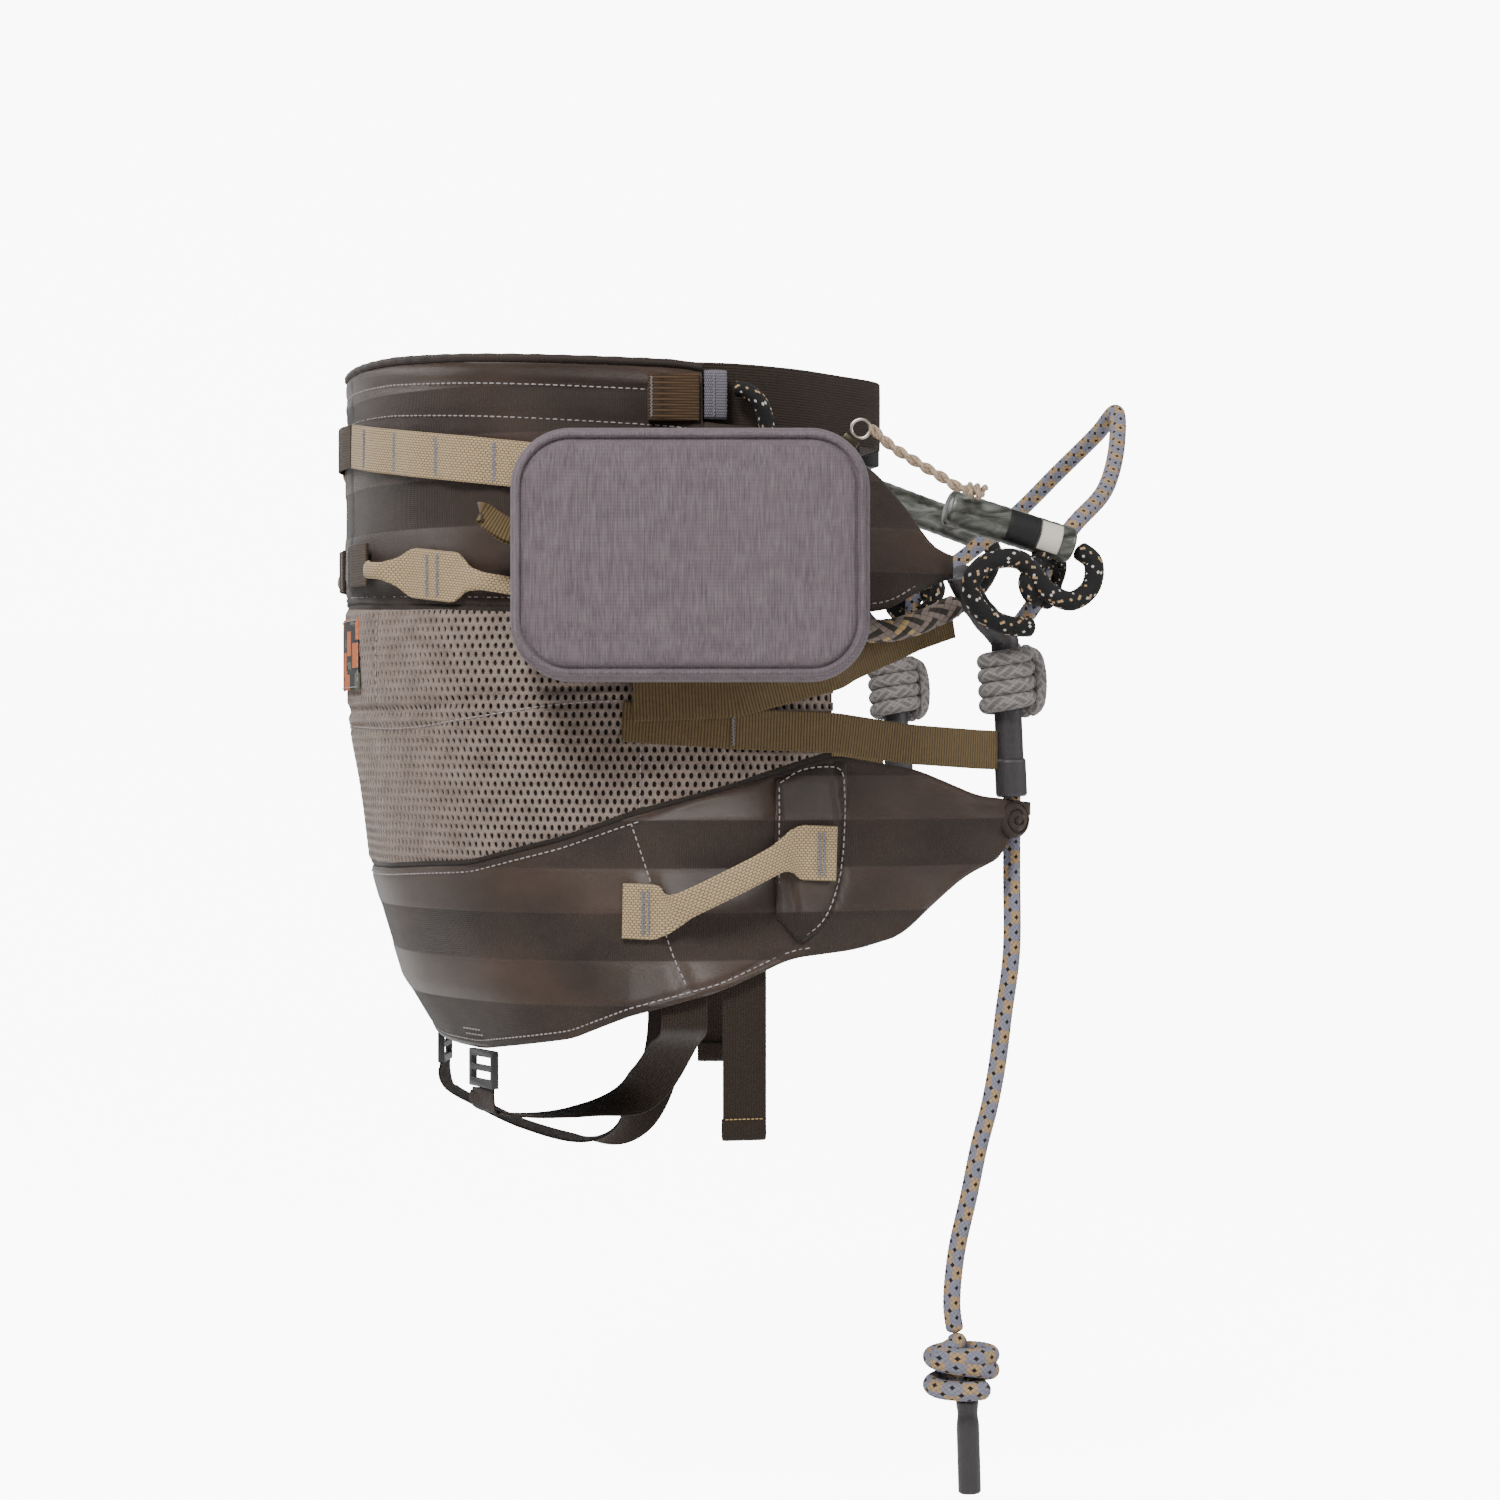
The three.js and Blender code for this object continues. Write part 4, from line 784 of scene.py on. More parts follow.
def cloth_roll(name, reach, height, radius, lift, material, cad):
    """A slightly lumpy roll of cloth that binds the top edge of a panel."""
    along = np.arange(-reach * GIRTH, reach * GIRTH, 2 * MM) / GIRTH
    route = hip(along, height(along), lift)
    angle = np.linspace(0, 2 * np.pi, 16, endpoint=False)
    rings = []
    for t in along:
        lump = 1 + 0.05 * math.sin(t * 210)
        rings.append(hip(t, height(t) + radius[1] * lump * np.sin(angle),
                         lift + radius[0] * np.cos(angle) * lump))
    girth = np.arange(17) / 16 * 2 * np.pi * radius[1]
    return loft(name, np.array(rings), length_along(route), girth, material, "saddle", cad)


cloth_roll("waist_edge_roll", WAIST_FRONT, lambda t: waist_rim(t) + 1.2 * MM, (3.4 * MM, 2.6 * MM),
           PANEL / 2, brown_nylon, ["waist_edge_binding"])

# ---- Stitching: thick bonded thread, pale grey and grey-blue ---------------------------------
# Lock stitches 2.7 mm long lie in the rows that they pinch. Bar tacks, which carry the load of a
# strap, zigzag closely.
def threads(name, starts, ends, radius, colour):
    """Short lengths of thread between pairs of points, thin at both ends."""
    starts, ends = np.array(starts), np.array(ends)
    ahead = unit(ends - starts)
    out = unit(np.cross(ahead, np.cross([0.0, 0, 1], ahead) + [1e-6, 2e-6, 0]) + 1e-9)
    other = np.cross(ahead, out)
    angle = np.linspace(0, 2 * np.pi, 6, endpoint=False)
    rings = []
    for share, size in ((0, 0.45), (0.18, 1.0), (0.82, 1.0), (1, 0.45)):
        centre = starts + (ends - starts) * share
        ring = out[:, None] * np.cos(angle)[:, None] + other[:, None] * np.sin(angle)[:, None]
        rings.append(centre[:, None] + ring * radius * size)
    points = np.stack(rings, 1)
    count = len(starts)
    walls = [(6 * i + j, 6 * i + (j + 1) % 6, 6 * i + 6 + (j + 1) % 6, 6 * i + 6 + j)
             for i in range(3) for j in range(6)]
    quads = np.array(walls)[None] + np.arange(count)[:, None, None] * 24
    caps = [np.array([(5, 4, 3, 2, 1, 0), (18, 19, 20, 21, 22, 23)]) + 24 * k for k in range(count)]
    faces = quads.reshape(-1, 4).tolist() + np.vstack(caps).tolist()
    return mesh_piece(name, points.reshape(-1, 3), faces, colour)


def thread_finish(name, colour):
    material, tree, shader = finish(name, colour, 0.6, sheen=0.3)
    twist = node(tree, "TexNoise", ("Scale", 1800.0))
    raised(tree, shader, twist.outputs[0], 0.4, 0.0002)
    return material


pale_thread = thread_finish("pale_thread", (0.34, 0.30, 0.30))
blue_thread = thread_finish("grey_blue_thread", (0.19, 0.195, 0.23))
STITCH, PITCH = 2.7 * MM, 3.9 * MM


def running_stitch(seam, out):
    """Stitches on both sides of the body along one flat row; out is a number or f(along, height)."""
    run = length_along(seam)
    starts, ends = [], []
    at = np.arange(0.5 * MM, run[-1] - STITCH, PITCH)
    for side, _ in SIDES:
        for first, keep in ((at, starts), (at + STITCH, ends)):
            t = side * np.interp(first, run, seam[:, 0]) / GIRTH
            z = np.interp(first, run, seam[:, 1])
            keep.extend(hip(t, z, out(t, z) if callable(out) else out))
    return starts, ends


def sew(name, seams, out, radius=0.42 * MM):
    starts, ends = [], []
    for seam in seams:
        first, last = running_stitch(seam, out)
        starts += first
        ends += last
    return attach(threads(name, starts, ends, radius, pale_thread), "saddle")


sew("waist_stitching", rows_on_waist, lambda t, z: PANEL + waist_relief(t, z) + 0.25 * MM)

# ---- Webbing: flat woven strap, sewn round the hips or standing off between bar tacks --------
# The tan chain is one length of nylon webbing, 25 mm wide, that is tacked to the waist panel every
# few centimetres and bulges between the tacks. A brown tab joins the two chains at the back.
def webbing_finish(name, light, dark, rib, depth=0.6, column=1.5 * MM):
    """Ribs across the strap, broken into columns like bricks, with fuzz and painted shade that darkens the
    grooves.
    """
    material, tree, shader = finish(name, light, 0.72, sheen=0.3)
    uv = node(tree, "UVMap", uv_map="UVMap")
    place = node(tree, "SeparateXYZ", (0, uv.outputs[0]))
    count = sums(tree, "ADD", sums(tree, "DIVIDE", place.outputs[1], column), 0.5)
    shifted = sums(tree, "MULTIPLY", sums(tree, "FLOOR", count), 0.5)
    row = sums(tree, "ADD", sums(tree, "DIVIDE", place.outputs[0], rib), shifted)
    across = sums(tree, "ABSOLUTE", waves(tree, count, 2))
    along = sums(tree, "ABSOLUTE", waves(tree, row, 2))
    knuckle = sums(tree, "MULTIPLY", sums(tree, "POWER", across, 0.5), sums(tree, "POWER", along, 0.6))
    fuzz = node(tree, "TexNoise", ("Scale", 1200.0), ("Detail", 3.0))
    wear = node(tree, "TexNoise", ("Scale", 35.0), ("Detail", 4.0))
    # The knuckle's share is painted shade that darkens the grooves between ribs; fuzz and wear are the
    # webbing's own.
    tone = weighed(tree, (knuckle, depth), (fuzz.outputs[0], 0.25), (wear.outputs[0], 0.25))
    shades = colours_along(tree, tone, [(0.25, dark), (0.85, light)])
    tree.links.new(shades, shader.inputs["Base Color"])
    raised(tree, shader, knuckle, 0.7, 0.0006)
    return material


tan_webbing = webbing_finish(
    "tan_webbing", (0.46, 0.34, 0.20), (0.060, 0.036, 0.015), rib=2.3 * MM, depth=0.8, column=1.4 * MM
)
olive_webbing = webbing_finish(
    "olive_webbing", (0.140, 0.095, 0.042), (0.026, 0.016, 0.006), rib=1.7 * MM, column=90 * MM
)
grey_webbing = webbing_finish("grey_webbing", (0.20, 0.185, 0.215), (0.07, 0.062, 0.075), rib=1.1 * MM)
brown_webbing = webbing_finish("brown_webbing", (0.062, 0.036, 0.018), (0.014, 0.008, 0.004), rib=1.0 * MM)
dark_webbing = webbing_finish(
    "dark_brown_webbing", (0.034, 0.020, 0.012), (0.010, 0.006, 0.004), rib=0.9 * MM
)
THIN = 1.6  # webbing's thickness in mm
WEBBING = THIN * MM
SECTION = np.linspace(0, 2 * np.pi, 28, endpoint=False)


def strap_section(half_width, half_thick):
    """Across and out for each point of a strap's section: flat webbing, or round when tubular."""
    power = np.interp(half_thick / half_width, (0.08, 0.6), (0.28, 1.0))
    c, s = np.cos(SECTION), np.sin(SECTION)
    return np.sign(c) * np.abs(c) ** power * half_width, np.sign(s) * np.abs(s) ** power * half_thick


def hip_strap(name, side, stations, material, cad, step=1.5 * MM):
    """Webbing round the hips; each station is (along, height, half width, lift, thickness) in mm."""
    table = np.array(stations, float)
    along = np.arange(table[0, 0] * GIRTH, table[-1, 0] * GIRTH + step / 2, step) / GIRTH
    soft = 0.006
    value = [np.mean([np.interp(along + d, table[:, 0], table[:, k]) for d in (-soft, 0, soft)], 0) * MM
             for k in range(1, 5)]
    height, half, lift, thick = value
    slope = np.gradient(height, along * GIRTH)
    rings, widths = [], []
    for k, t in enumerate(along):
        across, out = strap_section(half[k], thick[k] / 2)
        tilt = 1 / math.hypot(1, slope[k])
        back = -across * slope[k] * tilt / GIRTH
        rings.append(hip(side * (t + back), height[k] + across * tilt, lift[k] + thick[k] / 2 + out))
        widths.append(np.append(across, across[0]))
    return loft(name, np.array(rings), along * GIRTH, np.array(widths), material, "saddle", cad)


ON_PANEL = 5.6
CHAIN_START, FIRST_TACK, TACK_PITCH = 0.055, 0.11, 0.075
TACKS = [FIRST_TACK + TACK_PITCH * k for k in range(7)]
CHAIN_END = TACKS[-1]


def chain_height(t):
    return -31 * (t - CHAIN_START) / (CHAIN_END - CHAIN_START)


tack_starts, tack_ends = [], []


def bar_tack(side, along, low, high, lift, width=1.5):
    """A dense zigzag up the strap, in mm, left in the lists that make one piece of thread."""
    steps = int(high - low)
    heights = np.linspace(low, high, steps + 1) * MM
    swing = np.where(np.arange(steps + 1) % 2, width / 2, -width / 2) * MM / GIRTH
    points = hip(side * (along + swing), heights, lift * MM)
    tack_starts.extend(points[:-1])
    tack_ends.extend(points[1:])


for side, word in SIDES:
    stations = []
    for t in np.arange(CHAIN_START, CHAIN_END + 1e-6, TACK_PITCH / 10):
        phase = (t - FIRST_TACK) / TACK_PITCH
        swell = 0.0 if t < FIRST_TACK else 2.4 * abs(math.sin(math.pi * phase)) ** 0.7
        stations.append((t, chain_height(t), 12.5, ON_PANEL + swell, THIN))
    hip_strap(f"daisy_chain_webbing_{word}", side, stations, tan_webbing,
              [f"daisy_chain_{word}"])
    for t in TACKS[:-1]:
        bar_tack(side, t, chain_height(t) - 10.5, chain_height(t) + 10.5, ON_PANEL + 2.5, width=2.6)
back_tab = [(-CHAIN_START + 0.002, 0, 12.5, ON_PANEL, THIN), (-0.03, 0, 12.5, ON_PANEL + 2.6, THIN),
            (0, 0, 12.5, ON_PANEL + 3.4, THIN), (0.03, 0, 12.5, ON_PANEL + 2.6, THIN),
            (CHAIN_START - 0.002, 0, 12.5, ON_PANEL, THIN)]
hip_strap("back_tab_webbing", 1, back_tab, brown_webbing, ["back_webbing_tab"])

# ---- Keepers and lineman anchors ---------------------------------------------------------------
# A folded square of heavy brown webbing tucks in the belt, and in front of it a grey webbing
# loop, sewn through the panel's edge, holds the lineman rope.
KEEPER = (WAIST_FRONT - 0.060, WAIST_FRONT - 0.004)
ANCHOR = (WAIST_FRONT + 0.003, WAIST_FRONT + 0.029)
keeper_ribs = webbing_finish("keeper_webbing", (0.088, 0.048, 0.022), (0.020, 0.011, 0.005), rib=50 * MM)
for side, word in SIDES:
    hip_strap(f"keeper_webbing_{word}", side,
              [(KEEPER[0], 17, 13, ON_PANEL, 2.3), (KEEPER[1], 17, 13, ON_PANEL, 2.3)],
              keeper_ribs, [f"keeper_{word}"])
    hip_strap(f"anchor_webbing_{word}", side,
              [(ANCHOR[0], 18.8, 13.2, 0.2, 5.8), (ANCHOR[0] + 0.013, 18.8, 13.8, 0, 6.4),
               (ANCHOR[1], 18.8, 13.2, 0.2, 5.8)],
              grey_webbing, [f"lineman_anchor_{word}"])
    bar_tack(side, ANCHOR[0] + 0.010, 7, 30, 6.9, width=0.8)
    bar_tack(side, KEEPER[0] + 0.004, 6, 28, ON_PANEL + 2.4, width=1.0)

# ---- Gear loops: tan tubular webbing, flat where it is sewn down, under a brown rear tab ------
# Each runs along the foot of the waist panel. It is round where it stands off to take a clip, and
# two bar tacks hold its flat stretch.
GEAR = [
    (0.062, -69, 4.5, ON_PANEL, 1.8), (0.120, -71, 4.5, ON_PANEL, 1.8), (0.15, -73, 4.6, 12.6, 5.6),
    (0.18, -74, 4.6, 12.6, 5.6), (0.20, -75, 8, 7.2, 3.6), (0.216, -75.5, 13.8, ON_PANEL, 2.2),
    (0.29, -79.5, 13.8, ON_PANEL, 2.2), (0.302, -80.2, 7, ON_PANEL + 0.8, 4),
    (0.325, -82, 4.8, ON_PANEL + 3, 6), (0.36, -85, 5, ON_PANEL + 0.4, 3.6), (0.44, -85, 4.8, ON_PANEL, 2.5),
    (0.48, -82, 4.8, ON_PANEL, 2.3), (0.5, -80, 9, ON_PANEL, 2), (0.54, -80, 9, ON_PANEL, 2),
]
for side, word in SIDES:
    hip_strap(f"gear_loop_webbing_{word}", side, GEAR, tan_webbing, [f"gear_loop_{word}"],
              step=1.2 * MM)
    hip_strap(f"gear_tab_webbing_{word}", side,
              [(0.03, -69, 12, ON_PANEL, THIN), (0.055, -69, 12, ON_PANEL, THIN),
               (0.066, -69, 12, ON_PANEL + 2.1, THIN), (0.125, -69, 12, ON_PANEL + 2.1, THIN)],
              brown_webbing, [f"gear_loop_tab_{word}"])
    for t in (0.246, 0.262):
        bar_tack(side, t, -89, -66, ON_PANEL + 2.5, width=2.2)
    bar_tack(side, 0.036, -79, -59, ON_PANEL + 1.9)

# ---- Mesh panel: open spacer mesh between the two nylon panels -------------------------------
# The outer face is knitted with rows of oval holes over a core painted dark, as painted shade
# inside the holes. A horizontal tuck and two upright seams gather it, so it billows between them.
seat_rim = line([(0, -241), (0.1, -240), (0.28, -236), (0.4, -223), (0.49, -209), (0.62, -191),
                 (0.72, -176), (0.83, -184), (0.92, -199), (0.955, -200.5), (1, -203)])
MESH_FRONT, MESH_HEIGHTS = 0.72, (-0.246, -0.088)
tuck = flat_seam([(0, -150), (0.1, -151), (0.2, -151.5), (0.35, -143), (0.48, -137), (0.56, -134)])
mesh_seams = [
    flat_seam([(0.02, -160), (0.2, -161), (0.3, -156), (0.4, -149), (0.48, -146.5)]),
    flat_seam([(0.135, -97), (0.132, -125), (0.13, -148)]),
    flat_seam([(0.505, -97), (0.512, -130), (0.50, -165), (0.497, -205)]),
]


def mesh_relief(along, up):
    gathered = pinch(distance_to([tuck], along, up), 2.6 * MM, 3.2 * MM)
    gathered = gathered + pinch(distance_to(mesh_seams, along, up), 1.2 * MM, 2.6 * MM)
    return gathered + crumple(along * GIRTH * 1.4, up * 1.4, 3.4 * MM) + 0.6 * MM


def knit_finish(name, light, dark):
    material, tree, shader = finish(name, light, 0.9, sheen=0.4)
    uv = node(tree, "UVMap", uv_map="UVMap")
    dense = node(tree, "Mapping", ("Vector", uv.outputs[0]), ("Scale", (1500, 900, 1)))
    yarn = node(tree, "TexNoise", ("Vector", dense.outputs[0]), ("Scale", 1.0), ("Detail", 2.0))
    broad = node(tree, "TexNoise", ("Scale", 22.0), ("Detail", 3.0))
    tone = weighed(tree, (yarn.outputs[0], 0.6), (broad.outputs[0], 0.5))
    shades = colours_along(tree, tone, [(0.3, dark), (0.75, light)])
    tree.links.new(shades, shader.inputs["Base Color"])
    raised(tree, shader, yarn.outputs[0], 0.6, 0.0005)
    return material


mesh_face = knit_finish("spacer_mesh_face", (0.285, 0.225, 0.19), (0.115, 0.086, 0.07))
# The core's near-black colour is painted shade, for the dark inside the holes.
mesh_core = knit_finish("spacer_mesh_core", (0.036, 0.027, 0.022), (0.012, 0.009, 0.008))
padded_panel(
    "mesh_panel_core", MESH_FRONT, lambda t: waist_foot(t) + 1 * MM, lambda t: seat_rim(t) - 1 * MM,
    lambda t, z: mesh_relief(t, z) - 2.1 * MM, mesh_core, [], rows=30, step=4 * MM,
)


def holed_mesh(name, pitch, rise, hole, face_lift, depth, material):
    """A layer of brick-laid cells round the hips, each with an oval hole that has a short wall."""
    low, high = MESH_HEIGHTS
    count = round(2 * MESH_FRONT * GIRTH / pitch)
    cells = []
    for r in range(int((high - low) / rise)):
        z = low + (r + 0.5) * rise
        for c in range(count):
            t = (-MESH_FRONT * GIRTH + (c + 0.5 + 0.5 * (r % 2)) * pitch) / GIRTH
            if abs(t) < MESH_FRONT and seat_rim(t) - 5 * MM < z < waist_foot(t) + 5 * MM:
                cells.append((t, z))
    cells = np.array(cells)
    dt, dz = pitch / 2 / GIRTH, rise / 2
    border = np.array([(-1, -1), (0, -1), (1, -1), (1, 0), (1, 1), (0, 1), (-1, 1), (-1, 0)])
    angle = np.arctan2(border[:, 1], border[:, 0])
    oval = np.stack([np.cos(angle) * hole[0] / GIRTH, np.sin(angle) * hole[1]], -1)
    rim = cells[:, None] + border[None] * (dt, dz)
    ring = cells[:, None] + oval[None]

    def lift(p, drop):
        inside = np.minimum(p[..., 1] - seat_rim(p[..., 0]), waist_foot(p[..., 0]) - p[..., 1])
        tucked = np.clip(inside / (5 * MM), 0, 1)
        free = PANEL - 0.6 * MM + face_lift(p[..., 0], p[..., 1])
        return 1.2 * MM + (free - 1.2 * MM) * tucked * (2 - tucked) - drop

    layers = [hip(p[..., 0], p[..., 1], lift(p, drop))
              for p, drop in ((rim, 0.25 * MM), (ring, 0), (ring, depth))]
    points = np.stack(layers, 1).reshape(-1, 3)
    k = np.arange(8)
    nxt = (k + 1) % 8
    quads = np.vstack([np.stack([a + k, a + nxt, a + 8 + nxt, a + 8 + k], -1) for a in (0, 8)])
    faces = (quads[None] + np.arange(len(cells))[:, None, None] * 24).reshape(-1, 4)
    flat = np.concatenate([rim, ring, ring], 1).reshape(-1, 2) * (GIRTH, 1)
    keys, inverse = np.unique(np.round(points, 5), axis=0, return_inverse=True)
    return mesh_piece(name, keys, inverse.reshape(-1)[faces].tolist(), material, flat[faces])


mesh_cloth = holed_mesh("mesh_panel_face", 4.3 * MM, 4.7 * MM, (1.15 * MM, 1.75 * MM),
                        mesh_relief, 1.5 * MM, mesh_face)
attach(mesh_cloth, "saddle")
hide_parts("mesh_panel")
sew("mesh_stitching", mesh_seams, lambda t, z: PANEL + mesh_relief(t, z) - 0.2 * MM, radius=0.35 * MM)

# ---- Rear patch: a small woven patch in orange and black, sewn to the mesh at the back --------
# It is woven in flat blocks of colour with no lettering, and a row of stitches runs near its edge.
def patch_finish():
    material, tree, shader = finish("woven_patch", (0.5, 0.12, 0.035), 0.8, sheen=0.2)
    place = node(tree, "TexCoord")
    flat = node(tree, "Mapping", ("Vector", place.outputs["Object"]), ("Scale", (1, 60, 60)),
                ("Location", (0, 0, 7.1)))
    shapes = node(tree, "TexVoronoi", ("Vector", flat.outputs[0]), ("Scale", 1.0), distance="CHEBYCHEV")
    stops = [(0, (0.56, 0.13, 0.03)), (0.42, (0.02, 0.02, 0.018)), (0.60, (0.10, 0.11, 0.08))]
    pattern = colours_along(tree, shapes.outputs["Distance"], stops, "CONSTANT")
    tree.links.new(pattern, shader.inputs["Base Color"])
    weave = node(tree, "TexNoise", ("Scale", 1100.0))
    raised(tree, shader, weave.outputs[0], 0.5, 0.0005)
    return material


hip_strap("rear_patch_cloth", 1, [(-0.085, -118.5, 20.5, 5.5, 1.2), (0.085, -118.5, 20.5, 5.5, 1.2)],
          patch_finish(), ["rear_patch"])
patch_edge = [
    flat_seam([(0, -99.5), (0.05, -99.5), (0.082, -99.5)]),
    flat_seam([(0, -137.5), (0.082, -137.5)]),
    flat_seam([(0.082, -100), (0.082, -137)]),
]
sew("patch_stitching", patch_edge, 6.9 * MM, radius=0.3 * MM)

# ---- Seat panel: the wide padded sling under the hips ------------------------------------------
# The same banded nylon over foam, 5 mm thick in all. It is hemmed, pinched by an upright seam and
# by the curved seam that holds the reinforcing patch, and gathered hard into each front tip.
seat_hem = line([(0, -340), (0.19, -340), (0.39, -330), (0.52, -313), (0.59, -304), (0.67, -287),
                 (0.75, -283), (0.81, -276), (0.86, -257), (0.9, -244), (0.96, -233), (0.975, -216),
                 (1, -209)])
hem_row = row_of_stitches(0.0, 0.70, lambda t: seat_hem(t) + 4.5 * MM)
rim_row = row_of_stitches(0.0, 0.50, lambda t: seat_rim(t) - 4.0 * MM)
upright_seams = [
    flat_seam([(0.487, -212), (0.508, -243), (0.533, -283), (0.551, -303)]),
    flat_seam([(0.648, -189), (0.652, -217), (0.668, -252), (0.676, -279)]),
    flat_seam([(0.648, -188), (0.68, -181), (0.714, -177.5), (0.726, -200), (0.731, -232), (0.722, -255),
               (0.700, -271), (0.678, -280)]),
]


def seat_relief(along, up):
    seams = pinch(distance_to(upright_seams, along, up), 1.6 * MM, 3.0 * MM)
    seams = seams + pinch(distance_to([hem_row, rim_row], along, up), 0.9 * MM, 2.2 * MM)
    bands = band_swell(up, SEAT_BAND)
    away = np.abs(along)
    gather = np.clip((away - 0.80) / 0.2, 0, 1)
    folds = gather * 1.6 * MM * np.sin(up * 330 + away * 9)
    knob = 2.4 * MM * np.exp(-(((away - 0.975) * GIRTH / 0.010) ** 2 + ((up + 0.212) / 0.010) ** 2))
    pulled = 0.7 * MM * np.sin(away * GIRTH * 95 + up * 40) * np.clip((away - 0.2) / 0.3, 0, 1)
    return seams + bands + folds + knob + pulled + crumple(along * GIRTH * 0.9 + 0.3, up, 2.8 * MM)


seat_nylon = banded_nylon(
    "banded_seat_nylon", (0.066, 0.040, 0.027), (0.0090, 0.0054, 0.0038), phase=SEAT_BAND
)
padded_panel("seat_panel_cloth", 1.0, seat_rim, seat_hem, seat_relief, seat_nylon, ["seat_panel"],
             rows=56)
sew("seat_stitching", [hem_row, rim_row, upright_seams[0]],
    lambda t, z: PANEL + seat_relief(t, z) + 0.3 * MM)

# Each front tip ends in a tight scroll, where the cloth is rolled over the hip loop and sewn.
turn = np.linspace(0, 2 * np.pi, 60, endpoint=False)
for side, word in SIDES:
    rings, radii = [], np.concatenate([np.linspace(0.2, 10.4, 36), [10.8, 11.0, 10.8]]) * MM
    for k, radius in enumerate(radii):
        spiral = (radius / (4.2 * MM) + side * turn / (2 * np.pi)) % 1
        groove = 1.5 * MM * np.exp(-((np.minimum(spiral, 1 - spiral) / 0.14) ** 2))
        dome = 4.6 * MM * math.sqrt(max(0.0, 1 - (min(radius, 10.8 * MM) / (11.2 * MM)) ** 2))
        lift = PANEL - 1 * MM + dome - groove * min(1, dome / (2 * MM)) - max(0, k - 35) * 1.6 * MM
        along = side * (0.972 + radius * np.cos(turn) / GIRTH)
        rings.append(hip(along, -0.2125 + radius * np.sin(turn), lift))
    loft(f"tip_scroll_{word}", np.array(rings), radii * 1.5, np.arange(61) / 60 * 0.05, seat_nylon,
         "saddle")

# The reinforcing patch lies under its curved seam as one more layer of the same cloth.
PATCH_ENDS = (0.650, 0.736)
patch_top = line([(0.648, -189), (0.7, -181), (0.72, -179), (0.738, -181)], 0.004)
patch_foot = line([(0.648, -262), (0.68, -279), (0.71, -270), (0.738, -234)], 0.004)
for side, word in SIDES:
    along = np.linspace(*PATCH_ENDS, 40)[:, None]
    share = np.linspace(0, 1, 30)[None, :]
    up = patch_foot(along) + (patch_top(along) - patch_foot(along)) * share
    face = PANEL + seat_relief(along, up) + 0.5 * MM
    edge = np.minimum(np.minimum(up - patch_foot(along), patch_top(along) - up),
                      np.minimum(along - PATCH_ENDS[0], PATCH_ENDS[1] - along) * GIRTH)
    face = face + 0.9 * MM * np.sqrt(np.clip(edge / (3 * MM), 0, 1))
    rings = np.concatenate([hip(side * along, up, face), hip(side * along, up, PANEL / 2)[:, ::-1]], axis=1)
    heights = np.concatenate([up, up[:, ::-1], up[:, :1]], axis=1)
    loft(f"side_patch_cloth_{word}", rings, along[:, 0] * GIRTH, heights, seat_nylon, "saddle",
         [f"seat_side_patch_{word}"])
patch_rows = [
    flat_seam([(0.654, -191.5), (0.68, -184.5), (0.712, -182.5), (0.728, -184), (0.7325, -196),
               (0.7325, -229), (0.724, -248), (0.706, -267), (0.682, -275.5)]),
    flat_seam([(0.654, -193), (0.6545, -220), (0.656, -256), (0.680, -275)]),
]
sew("patch_seam_stitching", patch_rows, lambda t, z: PANEL + seat_relief(t, z) + 1.5 * MM)

# ---- Grip handles: tan webbing folded to a narrow handle between two sewn ends ---------------
# The same nylon webbing as the chains. Each end lies flat and is held by two bar tacks, and the
# folded middle stands off the seat panel so that a hand goes behind it.
HANDLE = [
    (0.477, -260, 15, ON_PANEL, 1.8), (0.518, -261, 15, ON_PANEL, 1.8), (0.530, -261, 9.5, 7.5, 3.4),
    (0.545, -257, 7.6, 12, 4.6), (0.565, -252, 7.4, 15.5, 4.8), (0.597, -244, 7.4, 17.2, 4.8),
    (0.63, -236, 7.4, 16, 4.8), (0.65, -231.5, 7.8, 12, 4.4), (0.665, -229.5, 11, 8.4, 2.8),
    (0.674, -229, 15, 7.5, 1.8), (0.72, -230, 15, 7.4, 1.8),
]
for side, word in SIDES:
    hip_strap(f"grip_handle_webbing_{word}", side, HANDLE, tan_webbing, [f"grip_handle_{word}"],
              step=1.2 * MM)
    for t, z, lift in ((0.501, -261, ON_PANEL + 2.2), (0.699, -230, 9.7)):
        bar_tack(side, t, z - 12, z + 12, lift, width=2.0)
        bar_tack(side, t + 0.006, z - 12, z + 12, lift, width=1.0)

# ---- Side straps: olive webbing from the hips to the hip loops --------------------------------
# Two straps of ribbed nylon carry the load from the panels. Both start at one sewn overlap on the
# mesh, and the upper one rises behind the pouch.
SIDE_STRAP = 11
for side, word in SIDES:
    lower = [(0.478, -158, SIDE_STRAP, ON_PANEL, THIN), (0.6, -162, SIDE_STRAP, ON_PANEL + 0.3, THIN),
             (0.72, -164, SIDE_STRAP, ON_PANEL, THIN), (0.8, -169, SIDE_STRAP, 2, THIN),
             (0.83, -170.5, SIDE_STRAP, 1.7, THIN), (0.92, -173, SIDE_STRAP, 0.9, THIN),
             (0.95, -173.5, SIDE_STRAP, 0.6, THIN)]
    upper = [(0.49, -147, SIDE_STRAP, 7.6, THIN), (0.6, -145, SIDE_STRAP, 7.6, THIN),
             (0.64, -140, SIDE_STRAP, 7.4, THIN), (0.722, -129.5, SIDE_STRAP, 5.4, THIN),
             (0.745, -125, SIDE_STRAP, -2.5, THIN), (0.78, -119, SIDE_STRAP, -7, THIN),
             (0.85, -107, SIDE_STRAP, -12, THIN), (0.904, -99.3, SIDE_STRAP, -11.5, THIN)]
    hip_strap(f"lower_side_strap_webbing_{word}", side, lower, olive_webbing,
              [f"lower_side_strap_{word}"])
    hip_strap(f"upper_side_strap_webbing_{word}", side, upper, olive_webbing,
              [f"upper_side_strap_{word}"])
    bar_tack(side, 0.60, -171, -151, ON_PANEL + 2.6, width=1.2)
